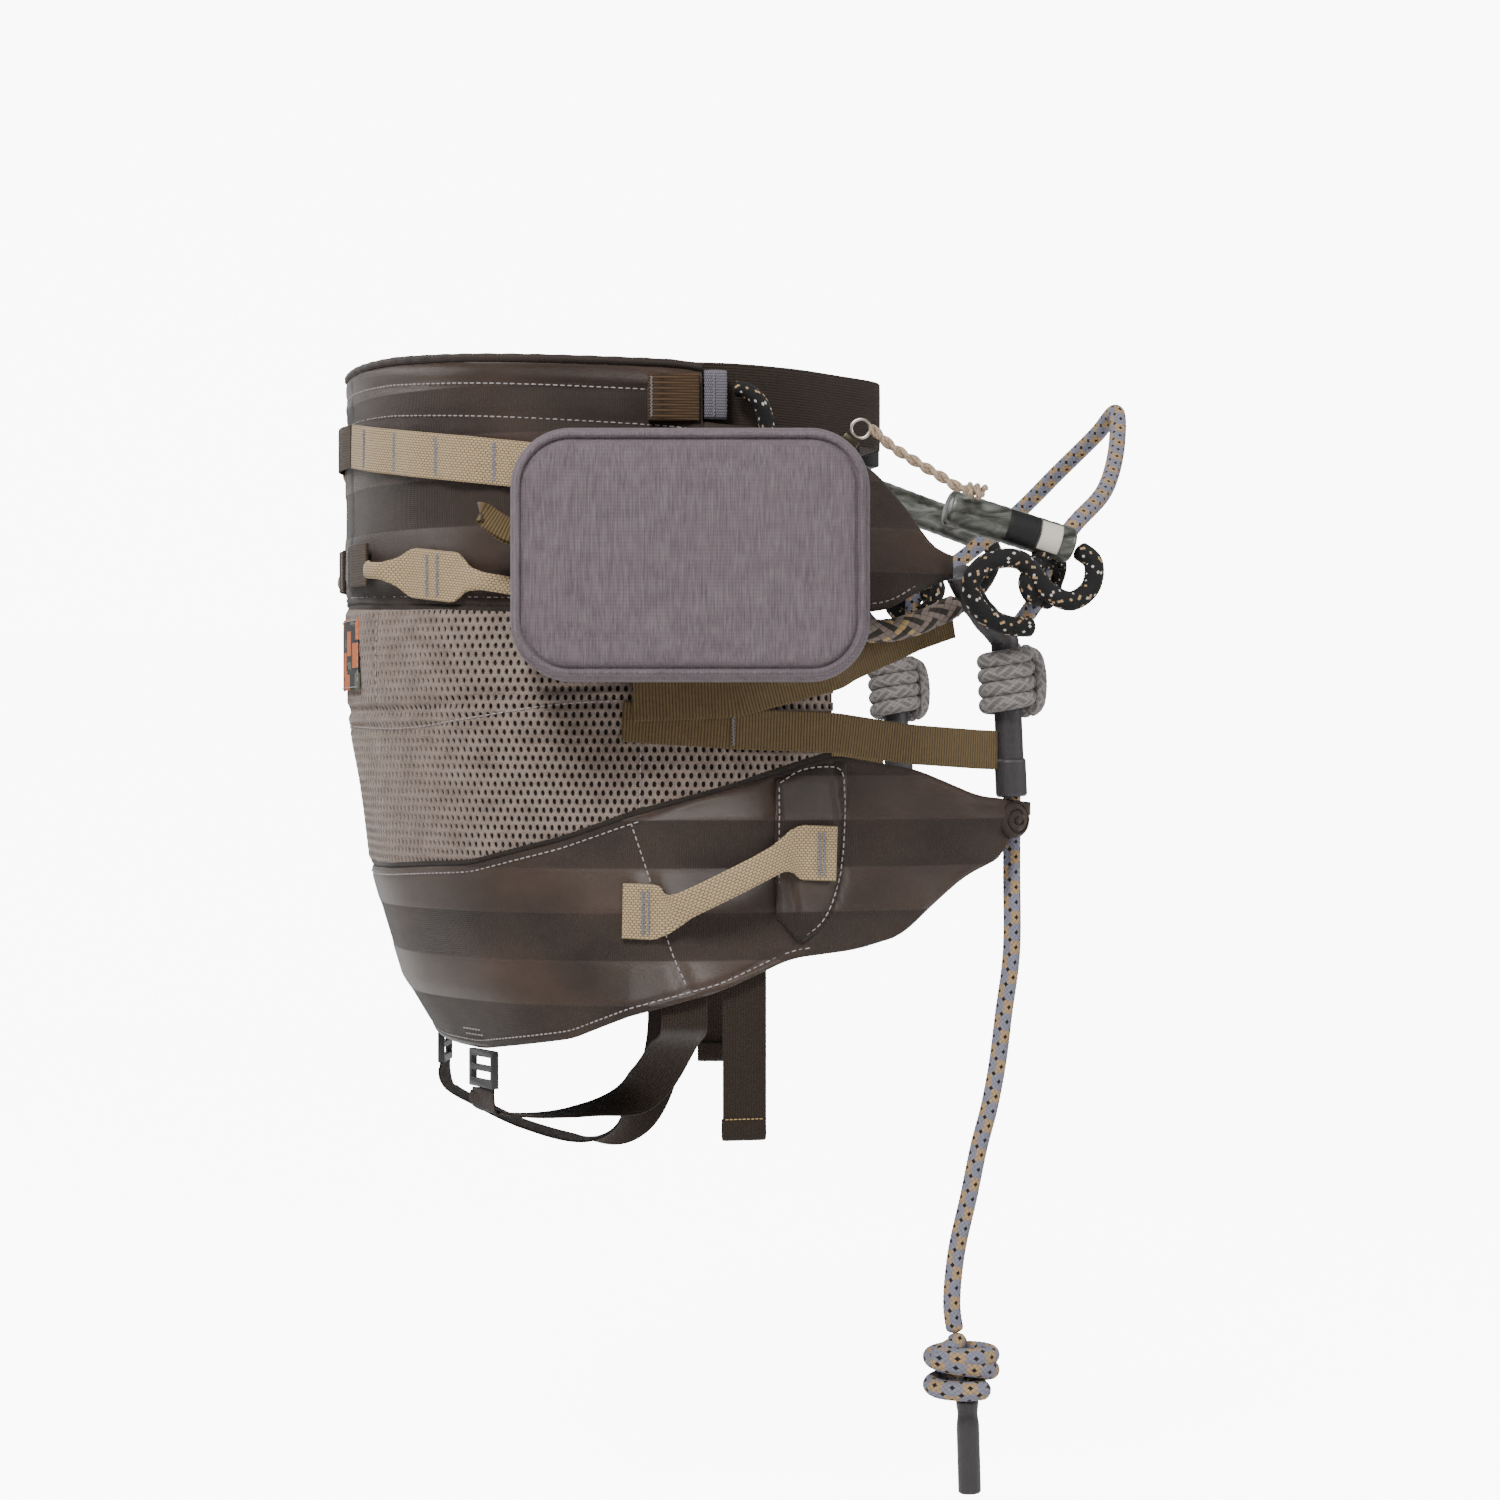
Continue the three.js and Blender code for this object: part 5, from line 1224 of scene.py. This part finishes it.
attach(threads("bar_tacks", tack_starts, tack_ends, 0.36 * MM, blue_thread), "saddle")

# ---- Waist belt: 38 mm brown webbing that closes in front with a side-release buckle ---------
# Dense dark nylon, one length on each side. It comes out of the keeper, stands on edge round the
# waist and ends inside the buckle.
def ribbon(name, route, across, width, thick, material, body, cad):
    """Flat webbing along a route; across points along its width, once or for each point."""
    ahead = unit(np.gradient(route, axis=0))
    across = np.broadcast_to(np.array(across, float), route.shape)
    across = unit(across - ahead * np.sum(across * ahead, -1, keepdims=True))
    out = np.cross(ahead, across)
    half = np.broadcast_to(width, len(route)) / 2
    rings, sides = [], []
    for k in range(len(route)):
        a, b = strap_section(half[k], thick / 2)
        rings.append(route[k] + across[k] * a[:, None] + out[k] * b[:, None])
        sides.append(np.append(a, a[0]))
    return loft(name, np.array(rings), length_along(route), np.array(sides), material, body, cad)


BELT_WIDTH = 38 * MM
BELT_PATH = [(-10, 165.8, 18), (34, 167.5, 18), (72, 157, 17), (106, 130, 16.5), (131, 108, 16),
             (138.6, 90, 16), (139, 78, 16), (139, 50, 16), (139, 20.5, 16)]
for side, word in SIDES:
    route = smooth_route(np.array(BELT_PATH) * [1, side, 1] * MM, 1.5 * MM)
    ribbon(f"waist_belt_webbing_{word}", route, (0, 0, 1), BELT_WIDTH, WEBBING, dark_webbing, "saddle",
           [f"waist_belt_{word}"])

# ---- Buckles: black glass-filled nylon, moulded in one piece each ----------------------------
# The plug's two prongs spring apart inside the socket. A ladder-lock hangs from the seat's hem at
# the end of each leg strap. The moulding leaves a fine grain and rounded edges.
def moulded_finish():
    material, tree, shader = finish("moulded_black_nylon", (0.018, 0.018, 0.020), 0.42, coat=0.1)
    grain = node(tree, "TexNoise", ("Scale", 2200.0), ("Detail", 2.0))
    broad = node(tree, "TexNoise", ("Scale", 90.0), ("Detail", 4.0))
    rough = node(tree, "MapRange", (0, broad.outputs[0]), (3, 0.34), (4, 0.58))
    tree.links.new(rough.outputs[0], shader.inputs["Roughness"])
    raised(tree, shader, grain.outputs[0], 0.25, 0.0002)
    return material


def eased(name, cad, material, body, bevel):
    """The CAD solid with its seams merged and its sharp edges rounded."""
    piece = nodes[cad].copy()
    piece.data = nodes[cad].data.copy()
    piece.name = name
    bpy.context.scene.collection.objects.link(piece)
    bpy.ops.object.select_all(action="DESELECT")
    piece.select_set(True)
    bpy.context.view_layer.objects.active = piece
    piece.hide_viewport = piece.hide_render = False
    bpy.ops.object.mode_set(mode="EDIT")
    bpy.ops.mesh.select_all(action="SELECT")
    bpy.ops.mesh.remove_doubles(threshold=1e-5)
    bpy.ops.mesh.dissolve_limited(angle_limit=math.radians(2))
    bpy.ops.object.mode_set(mode="OBJECT")
    bpy.ops.object.modifier_add(type="BEVEL")
    edge = piece.modifiers[-1]
    edge.width, edge.segments, edge.limit_method = bevel, 3, "ANGLE"
    edge.angle_limit, edge.use_clamp_overlap = math.radians(35), True
    bpy.ops.object.modifier_apply(modifier=edge.name)
    bpy.ops.object.shade_smooth_by_angle(angle=math.radians(35))
    piece.data.materials.clear()
    piece.data.materials.append(material)
    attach(piece, body)
    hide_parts(cad)
    return piece


black_plastic = moulded_finish()
for name, cad, body in (
    ("buckle_socket_shell", "waist_buckle_socket", "saddle"),
    ("buckle_plug_shell", "waist_buckle_plug", "buckle_plug"),
    ("upper_prong", "waist_buckle_prong_upper", "prong_upper"),
    ("lower_prong", "waist_buckle_prong_lower", "prong_lower"),
    ("ladder_lock_right", "leg_buckle_right", "leg_buckle_right"),
    ("ladder_lock_left", "leg_buckle_left", "leg_buckle_left"),
):
    eased(name, cad, black_plastic, body, 0.6 * MM)

# ---- Leg straps: dark brown webbing that hangs in a curve from each ladder-lock ----------------
# The webbing is 25 mm wide, and its far end comes up inside the seat panel, where it is sewn. A
# tail with a folded end hangs from the hem beside it.
LEG_AT, LEG_TOP = 0.185, {"right": 0.548, "left": 0.648}
LEG_ROUTES = {
    "right": [(-86, -82, -374), (-66, -75, -379), (-34, -72, -378), (0, -86, -366), (14, -118, -338)],
    "left": [(-86, 82, -376), (-70, 77, -386), (-40, 66, -400), (-4, 62, -408), (28, 80, -398),
             (50, 112, -368), (60, 146, -334)],
}
TAIL_AT = {"right": 0.618, "left": 0.728}
LOCK_DROP = 22.5 * MM  # from the hem down past the ladder-lock
TAIL_RISE, TAIL_FOLD = 8 * MM, 84 * MM


def round_hips(t, side):
    ahead = hip(side * (t + 0.005), -0.3, 0) - hip(side * (t - 0.005), -0.3, 0)
    return ahead / np.linalg.norm(ahead)


def at_hem(t, side):
    """A point at the hem, and the directions out from the hips and forward round them."""
    base = hip(side * t, seat_hem(t) + 4 * MM, 0)
    return base, unit(hip(side * t, seat_hem(t) + 4 * MM, 0.01) - base), round_hips(t, side)


for side, word in SIDES:
    hem = seat_hem(LEG_AT)
    foot = hem - LOCK_DROP
    start = hip(side * LEG_AT, hem, PANEL / 2)
    high_end = LEG_TOP[word]
    upper = [hip(side * high_end, seat_hem(high_end) + z * MM, -1.9 * MM) for z in (-14, -4, 6, 18)]
    points = [(start[0], start[1], foot + 0.6 * MM), (start[0], start[1], foot - 5 * MM)]
    points += [tuple(c * MM for c in p) for p in LEG_ROUTES[word]] + [tuple(p) for p in upper]
    route = smooth_route(points, 1.5 * MM)
    share = (length_along(route) / length_along(route)[-1])[:, None]
    share = share**2 * (3 - 2 * share)
    across = round_hips(LEG_AT, side) * (1 - share) + round_hips(LEG_TOP[word], side) * share
    ribbon(f"leg_strap_webbing_{word}", route, across, 25 * MM, 1.5 * MM, dark_webbing, "saddle",
           [f"leg_strap_{word}"])
    t = TAIL_AT[word]
    top = seat_hem(t) + TAIL_RISE
    down = [(top - z, -1.5 * MM) for z in (0, 20 * MM, 40 * MM, 60 * MM, TAIL_FOLD)]
    # The fold turns inwards, then the end lies against the strap.
    fold = [(top - 93.5 * MM, -1.5 * MM), (top - 95.2 * MM, -2.9 * MM), (top - 93.5 * MM, -4.3 * MM),
            (top - TAIL_FOLD, -4.3 * MM)]
    base, outward, ahead = at_hem(t, side)
    route = smooth_route([(*(base + outward * (o - 0.4 * MM))[:2], z) for z, o in down + fold], 1.2 * MM)
    ribbon(f"strap_tail_webbing_{word}", route, ahead, 24.4 * MM, 1.5 * MM, dark_webbing,
           f"strap_tail_{word}", [f"strap_tail_{word}"])

# Each tail's fold is closed by a pale gold row of thread, and each leg strap is tacked at the hem.
gold_thread = thread_finish("gold_thread", (0.42, 0.28, 0.12))
for side, word in SIDES:
    t = TAIL_AT[word]
    base, outward, ahead = at_hem(t, side)
    x = np.arange(-11, 10.5, 2.4) * MM
    foot = (base + outward * -0.95 * MM)[None, :2] + ahead[None, :2] * x[:, None]
    heights = np.full((len(x), 1), seat_hem(t) + TAIL_RISE - TAIL_FOLD)
    starts = np.hstack([foot, heights])
    row = threads(f"tail_stitching_{word}", starts, starts + ahead * 1.8 * MM, 0.35 * MM, gold_thread)
    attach(row, f"strap_tail_{word}")
sew("hem_tacks", [flat_seam([(LEG_AT - 0.026, -332), (LEG_AT + 0.026, -332)]),
                  flat_seam([(LEG_AT - 0.026, -329), (LEG_AT + 0.026, -329)])],
    lambda t, z: PANEL + seat_relief(t, z) + 0.4 * MM)

# ---- Pouch: a padded clamshell of coated canvas, zipped round, that clips to the webbing ------
# Two stiffened halves with raised seams meet at the zip, and the front one swings down about its
# lower edge. The pouch is turned a little, to lie along the panel behind it.
POUCH_WIDTH, POUCH_HEIGHT, POUCH_CORNER = 190 * MM, 134 * MM, 32 * MM
BACK_DEPTH, FRONT_DEPTH = 24 * MM, 28 * MM
POUCH_TURN = math.radians(-12)
POUCH = Matrix.Translation((11.3 * MM, -(SIDE_REACH + PANEL + 8.8 * MM), -70.4 * MM)) @ Matrix.Rotation(
    POUCH_TURN, 4, "Z")
pouch_frame = np.array(POUCH)


def in_pouch(points):
    points = np.asarray(points, float)
    return points @ pouch_frame[:3, :3].T + pouch_frame[:3, 3]


def pouch_outline(inset, count):
    """Evenly spaced points round the pouch's edge in x and z, from its top, and their length."""
    corner = POUCH_CORNER - inset
    w, h = POUCH_WIDTH / 2 - inset - corner, POUCH_HEIGHT / 2 - inset - corner
    pieces = [np.array([(0, h + corner), (w, h + corner)])]
    for cx, cz, start in ((w, h, 90), (w, -h, 0), (-w, -h, -90), (-w, h, -180)):
        a = np.radians(np.linspace(start, start - 90, 17))
        pieces.append(np.stack([cx + corner * np.cos(a), cz + corner * np.sin(a)], -1))
    line = np.vstack([*pieces, [(0, h + corner)]])
    run = length_along(line)
    at = np.linspace(0, run[-1], count, endpoint=False)
    return np.stack([np.interp(at, run, line[:, k]) for k in (0, 1)], -1), run[-1]


def matched_outline(width, height, corner):
    """160 points in the same order for any size, so that rings of different sizes join squarely."""
    w, h = width / 2 - corner, height / 2 - corner

    def run(a, b, count):
        return np.linspace(a, b, count, endpoint=False)

    def turned(cx, cz, start):
        a = np.radians(run(start, start - 90, 16))
        return np.stack([cx + corner * np.cos(a), cz + corner * np.sin(a)], -1)

    def side(x, z):
        return np.stack(np.broadcast_arrays(x, z), -1)

    return np.vstack([
        side(w + corner, run(0, -h, 9)), turned(w, -h, 0), side(run(w, -w, 30), -h - corner),
        turned(-w, -h, -90), side(-w - corner, run(-h, h, 18)), turned(-w, h, 180),
        side(run(-w, w, 30), h + corner), turned(w, h, 90), side(w + corner, run(h, 0, 9)),
    ])


# Shallow dents of a worn, half-filled pouch: middle, half width, half height and depth in mm.
DENTS = ((70, 24, 9, 20, 1.5), (-76, 12, 8, 12, 1.2), (66, -22, 9, 9, 0.9), (-60, -46, 16, 7, 1.0),
         (20, 50, 22, 6, 0.8))


def pouch_shell(name, profile, body, cad, material):
    """A half of the pouch. profile rows are (inset, y, how much wrinkle) from its face's middle."""
    count = 160
    rings = []
    for inset, y, loose in profile:
        corner = max(POUCH_CORNER - inset, 14 * MM)
        corner = min(corner, POUCH_HEIGHT / 2 - inset - 0.02 * MM)
        ring = matched_outline(POUCH_WIDTH - 2 * inset, POUCH_HEIGHT - 2 * inset, max(corner, 0.01 * MM))
        across, up = ring[:, 0], ring[:, 1]
        ripple = (np.sin(across * 61 + up * 37) + 0.7 * np.sin(up * 83 - 1)
                  + 0.5 * np.sin(across * 143 + up * 97)) * loose * MM
        for x, z, wide, high, deep in DENTS:
            near = ((across / MM - x) / wide) ** 2 + ((up / MM - z) / high) ** 2
            ripple = ripple + (loose > 0) * deep * MM * np.exp(-near)
        rings.append(np.stack([across, y + ripple, up], -1))
    rings = in_pouch(np.array(rings))
    _, girth = pouch_outline(0, count)
    run = length_along(np.array([(inset, y) for inset, y, _ in profile]))
    return loft(name, rings, run, np.arange(count + 1) / count * girth, material, body, cad)


def canvas_finish(name, light, dark):
    """A fine plain weave with slubs that run upright, seen in the part's own plane."""
    material, tree, shader = finish(name, light, 0.78, sheen=0.35)
    place = node(tree, "TexCoord")
    turned = node(tree, "Mapping", ("Vector", place.outputs["Object"]), ("Rotation", (0, 0, -POUCH_TURN)))
    axes = node(tree, "SeparateXYZ", (0, turned.outputs[0]))
    warp = waves(tree, axes.outputs[0], 0.78 * MM)
    weft = waves(tree, axes.outputs[2], 0.72 * MM)
    weave = sums(tree, "MULTIPLY", sums(tree, "ADD", warp, weft), 0.5)
    long = node(tree, "Mapping", ("Vector", turned.outputs[0]), ("Scale", (1500, 1500, 70)))
    slub = node(tree, "TexNoise", ("Vector", long.outputs[0]), ("Scale", 1.0), ("Detail", 3.0))
    short = node(tree, "Mapping", ("Vector", turned.outputs[0]), ("Scale", (120, 120, 1500)))
    pick = node(tree, "TexNoise", ("Vector", short.outputs[0]), ("Scale", 1.0), ("Detail", 2.0))
    broad = node(tree, "TexNoise", ("Scale", 16.0), ("Detail", 4.0))
    tone = weighed(tree, (slub.outputs[0], 0.68), (pick.outputs[0], 0.08), (broad.outputs[0], 0.24),
                   (weave, 0.12))
    shades = colours_along(tree, tone, [(0.3, dark), (0.72, light)])
    tree.links.new(shades, shader.inputs["Base Color"])
    height = weighed(tree, (weave, 1), (slub.outputs[0], 1.6))
    raised(tree, shader, height, 0.45, 0.0004)
    return material


canvas = canvas_finish("pouch_canvas", (0.190, 0.153, 0.168), (0.080, 0.062, 0.072))
FACE = -BACK_DEPTH - FRONT_DEPTH - 0.3 * MM
MIDDLE_INSET = POUCH_HEIGHT / 2 - 1.5 * MM
front = [(MIDDLE_INSET, FACE + 0.3 * MM, 0)]
for inset in np.linspace(62, 9, 20):
    dome = 3.4 * (1 - min(1, inset / 45)) ** 2
    loose = 0.28 * min(1, (inset - 7) / 20) * min(1, (62 - inset) / 25)
    front.append((inset * MM, FACE + (0.3 + dome) * MM, loose))
front += [(i * MM, FACE + y * MM, 0) for i, y in (
    (7.6, 4.0), (7.0, 4.6), (6.6, 4.9), (6.2, 4.2), (5.8, 3.0), (5.2, 2.2), (4.5, 2.0), (3.8, 2.4),
    (3.2, 3.4), (2.9, 4.6), (2.8, 5.8), (2.2, 7.0), (1.3, 8.2), (0.7, 10), (0.3, 13), (0.1, 17),
    (0.3, 21), (0.9, 24), (1.6, 25.6), (2.2, 26.2), (2.6, 26.4), (3.0, 26.2), (3.2, 25), (3.2, 18),
    (3.6, 11), (6, 7.6), (12, 6.4), (30, 5.6), (60, 5.4), (65.4, 5.4),
)]
pouch_shell("pouch_front_canvas", front, "pouch_lid", ["pouch_front"], canvas)
back = [(i * MM, y * MM, 0) for i, y in (
    (65.4, -0.4), (50, -0.4), (30, -0.4), (12, -0.5), (8, -0.9), (5, -1.5), (3.4, -2.4), (2.9, -3.2),
    (2.7, -4), (2.0, -5), (1.0, -6.5), (0.4, -9), (0.1, -13), (0.4, -17), (1.0, -20), (1.8, -21.6),
    (2.4, -22.3), (2.8, -22.4), (3.1, -22.2), (3.3, -21), (3.3, -14), (4, -8), (7, -4.8),
    (14, -3.8), (40, -3.4), (65.4, -3.4),
)]
pouch_shell("pouch_back_canvas", back, "saddle", ["pouch_body"], canvas)

# The zip runs between the halves: an olive tape on each, with a row of coil teeth.
ZIP_LINE = -24.15 * MM
zip_tape = webbing_finish("olive_zip_tape", (0.115, 0.095, 0.04), (0.045, 0.036, 0.014), rib=0.8 * MM)
coil_finish, tree, shader = finish("zip_coil", (0.07, 0.062, 0.03), 0.4)
grain = node(tree, "TexNoise", ("Scale", 900.0))
raised(tree, shader, grain.outputs[0], 0.2, 0.0002)
for name, near, far, body in (("back", -22.0 * MM, -23.7 * MM, "saddle"),
                              ("front", -26.5 * MM, -24.7 * MM, "pouch_lid")):
    outline, girth = pouch_outline(2.2 * MM, 400)
    inner, _ = pouch_outline(3.2 * MM, 400)
    loop = [0, *range(1, 400), 0]
    rings = []
    for k in loop:
        (x, z), (u, w) = outline[k], inner[k]
        between = (near + far) / 2
        rings.append([(x, near, z), (x, between, z), (x, far, z), (u, far, w), (u, between, w),
                      (u, near, w)])
    run = np.linspace(0, girth, len(loop))
    loft(f"zip_tape_{name}", in_pouch(np.array(rings)), run,
         np.array([0, 0.85, 1.7, 2.7, 3.5, 4.4, 6.1]) * MM, zip_tape, body)
    teeth = round(girth / (1.6 * MM))
    rims, _ = pouch_outline(1.95 * MM, teeth)
    tape_edge = far + math.copysign(0.5 * MM, near - far)
    starts, ends = (in_pouch(np.stack([rims[:, 0], np.full(teeth, y), rims[:, 1]], -1))
                    for y in (tape_edge, ZIP_LINE))
    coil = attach(threads(f"zip_coil_{name}", starts, ends, 0.42 * MM, coil_finish), body)

# ---- Zip slider, its ring and its knotted pull cord --------------------------------------------
# The slider is painted metal and its ring is plated wire. The pull is tan accessory cord, doubled
# and twisted, hitched on the ring and tied at its end.
ZIP = pouch_frame @ np.array(Matrix.Translation((63 * MM, -24 * MM, 35 * MM)) @ Matrix.Rotation(
    math.radians(-50), 4, "Y"))


def steel_finish(name, colour):
    material, tree, shader = finish(name, colour, 0.35, metallic=1.0)
    wear = node(tree, "TexNoise", ("Scale", 260.0), ("Detail", 5.0))
    rough = node(tree, "MapRange", (0, wear.outputs[0]), (3, 0.22), (4, 0.55))
    tree.links.new(rough.outputs[0], shader.inputs["Roughness"])
    raised(tree, shader, wear.outputs[0], 0.15, 0.0002)
    return material


steel = steel_finish("nickel_plated_wire", (0.55, 0.50, 0.42))
eased("zip_slider_body", "zipper_slider", steel_finish("painted_slider", (0.10, 0.09, 0.06)), "zip_slider",
      0.5 * MM)
bpy.ops.object.select_all(action="DESELECT")
RING_AT = 42.5 * MM  # along the slider's own axis
ring_place = Matrix(ZIP.tolist()) @ Matrix.Translation((RING_AT, 0, 0))
bpy.ops.mesh.primitive_torus_add(major_radius=5 * MM, minor_radius=0.9 * MM, major_segments=64,
                                 minor_segments=20)
ring = bpy.context.object
ring.name = "pull_ring_wire"
ring.data.transform(ring_place @ Matrix.Rotation(math.radians(90), 4, "X"))
bpy.ops.object.shade_smooth()
ring.data.materials.append(steel)
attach(ring, "zip_pull")
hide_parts("zipper_pull_ring")
ring_in_pouch = np.linalg.inv(pouch_frame) @ ZIP @ np.array([RING_AT, 0, 0, 1])
pull_points = in_pouch(ring_in_pouch[:3] + np.array(
    [(7.7, 0, -1.4), (16, 0, -9), (30, 0, -18), (42, 0, -25), (52, 0, -31), (66, 0, -34)]) * MM)
PULL_BRAID = (8, 11 * MM)
pull_finish = rope_finish("tan_accessory_cord", PULL_BRAID, ((0.47, 0.35, 0.25), (0.30, 0.21, 0.13)),
                          (0, 0, 1, 0, 0, 1, 0, 0))
pull_route = smooth_route(pull_points, 0.5 * MM)
around, _ = round_the_route(pull_route, 4)
run = length_along(pull_route)[:, None]
for k, phase in enumerate((0, math.pi)):
    turn = 2 * math.pi * run / (17 * MM) + phase
    swing = around[:, 0] * np.cos(turn) + around[:, 1] * np.sin(turn)
    braided_rope(f"pull_cord_strand_{k + 1}", pull_route + swing * 1.45 * MM, 3.1 * MM,
                                PULL_BRAID, pull_finish, "zip_pull",
                                ["zipper_pull_cord"] if k == 0 else [])
# The doubled cord is hitched on the ring, and its two ends are tied together in an overhand knot.
end, ahead = pull_route[-1], unit(pull_route[-1] - pull_route[-12])
side_on, up_on = around[-1, 0], around[-1, 1]
knot_turn = np.linspace(0, 2 * np.pi * 2.2, 26)
knot_route = [end - ahead * 9 * MM + ahead * (t / 13.8 * 9 * MM)
              + (side_on * math.cos(t) + up_on * math.sin(t)) * (2.9 + 0.3 * math.sin(3 * t)) * MM
              for t in knot_turn]
pull_knot = braided_rope("pull_cord_knot", smooth_route(knot_route, 0.5 * MM), 3.0 * MM, PULL_BRAID,
                         pull_finish, "zip_pull", [])
start, back = pull_route[0], unit(pull_route[0] - pull_route[12])
loop_route = [start + back * x * MM + side_on * y * MM for x, y in (
    (-4, 1.4), (0, 1.6), (2.4, 1.0), (3.2, 0), (2.4, -1.0), (0, -1.6), (-4, -1.4))]
pull_loop = braided_rope("pull_cord_hitch", smooth_route(loop_route, 0.5 * MM), 2.4 * MM, PULL_BRAID,
                         pull_finish, "zip_pull", [])

# ---- Pouch trims: the folded olive pull loop and the two hanger straps ------------------------
# The olive webbing is folded and sewn in at the pouch's rear edge. The grey hangers are sewn flat
# up the pouch's back and hold it against the waist panel.
x0, y0 = -POUCH_WIDTH / 2, -BACK_DEPTH + 8 * MM
loop_points = [(x0 + x * MM, y0 + y * MM, z * MM) for x, y, z in (
    (3, -0.6, 13), (-3, -0.9, 15), (-10, -0.8, 19), (-15.5, -0.5, 23), (-17.3, 0.1, 24.4), (-15.5, 0.7, 23),
    (-10, 0.9, 18), (-3, 0.9, 13), (3, 0.6, 11))]
flat_loop = smooth_route(in_pouch(loop_points), 0.8 * MM)
lay_of_loop = unit(in_pouch((0.5, 0, -1)) - in_pouch((0, 0, 0)))
ribbon("side_pull_loop", flat_loop, lay_of_loop, 12 * MM, 1.1 * MM, olive_webbing, "saddle",
       ["pouch_side_loop"])
for word, x in (("rear", -48), ("front", 8)):
    hang = [(x * MM, 1.5 * MM, z * MM) for z in (-39.5, -20, 5, 30, 49.5)]
    ribbon(f"hanger_webbing_{word}", smooth_route(in_pouch(hang), 1.5 * MM),
           in_pouch((1, 0, 0)) - in_pouch((0, 0, 0)), 24 * MM, 2.3 * MM, grey_webbing, "saddle",
           [f"pouch_hanger_{word}"])
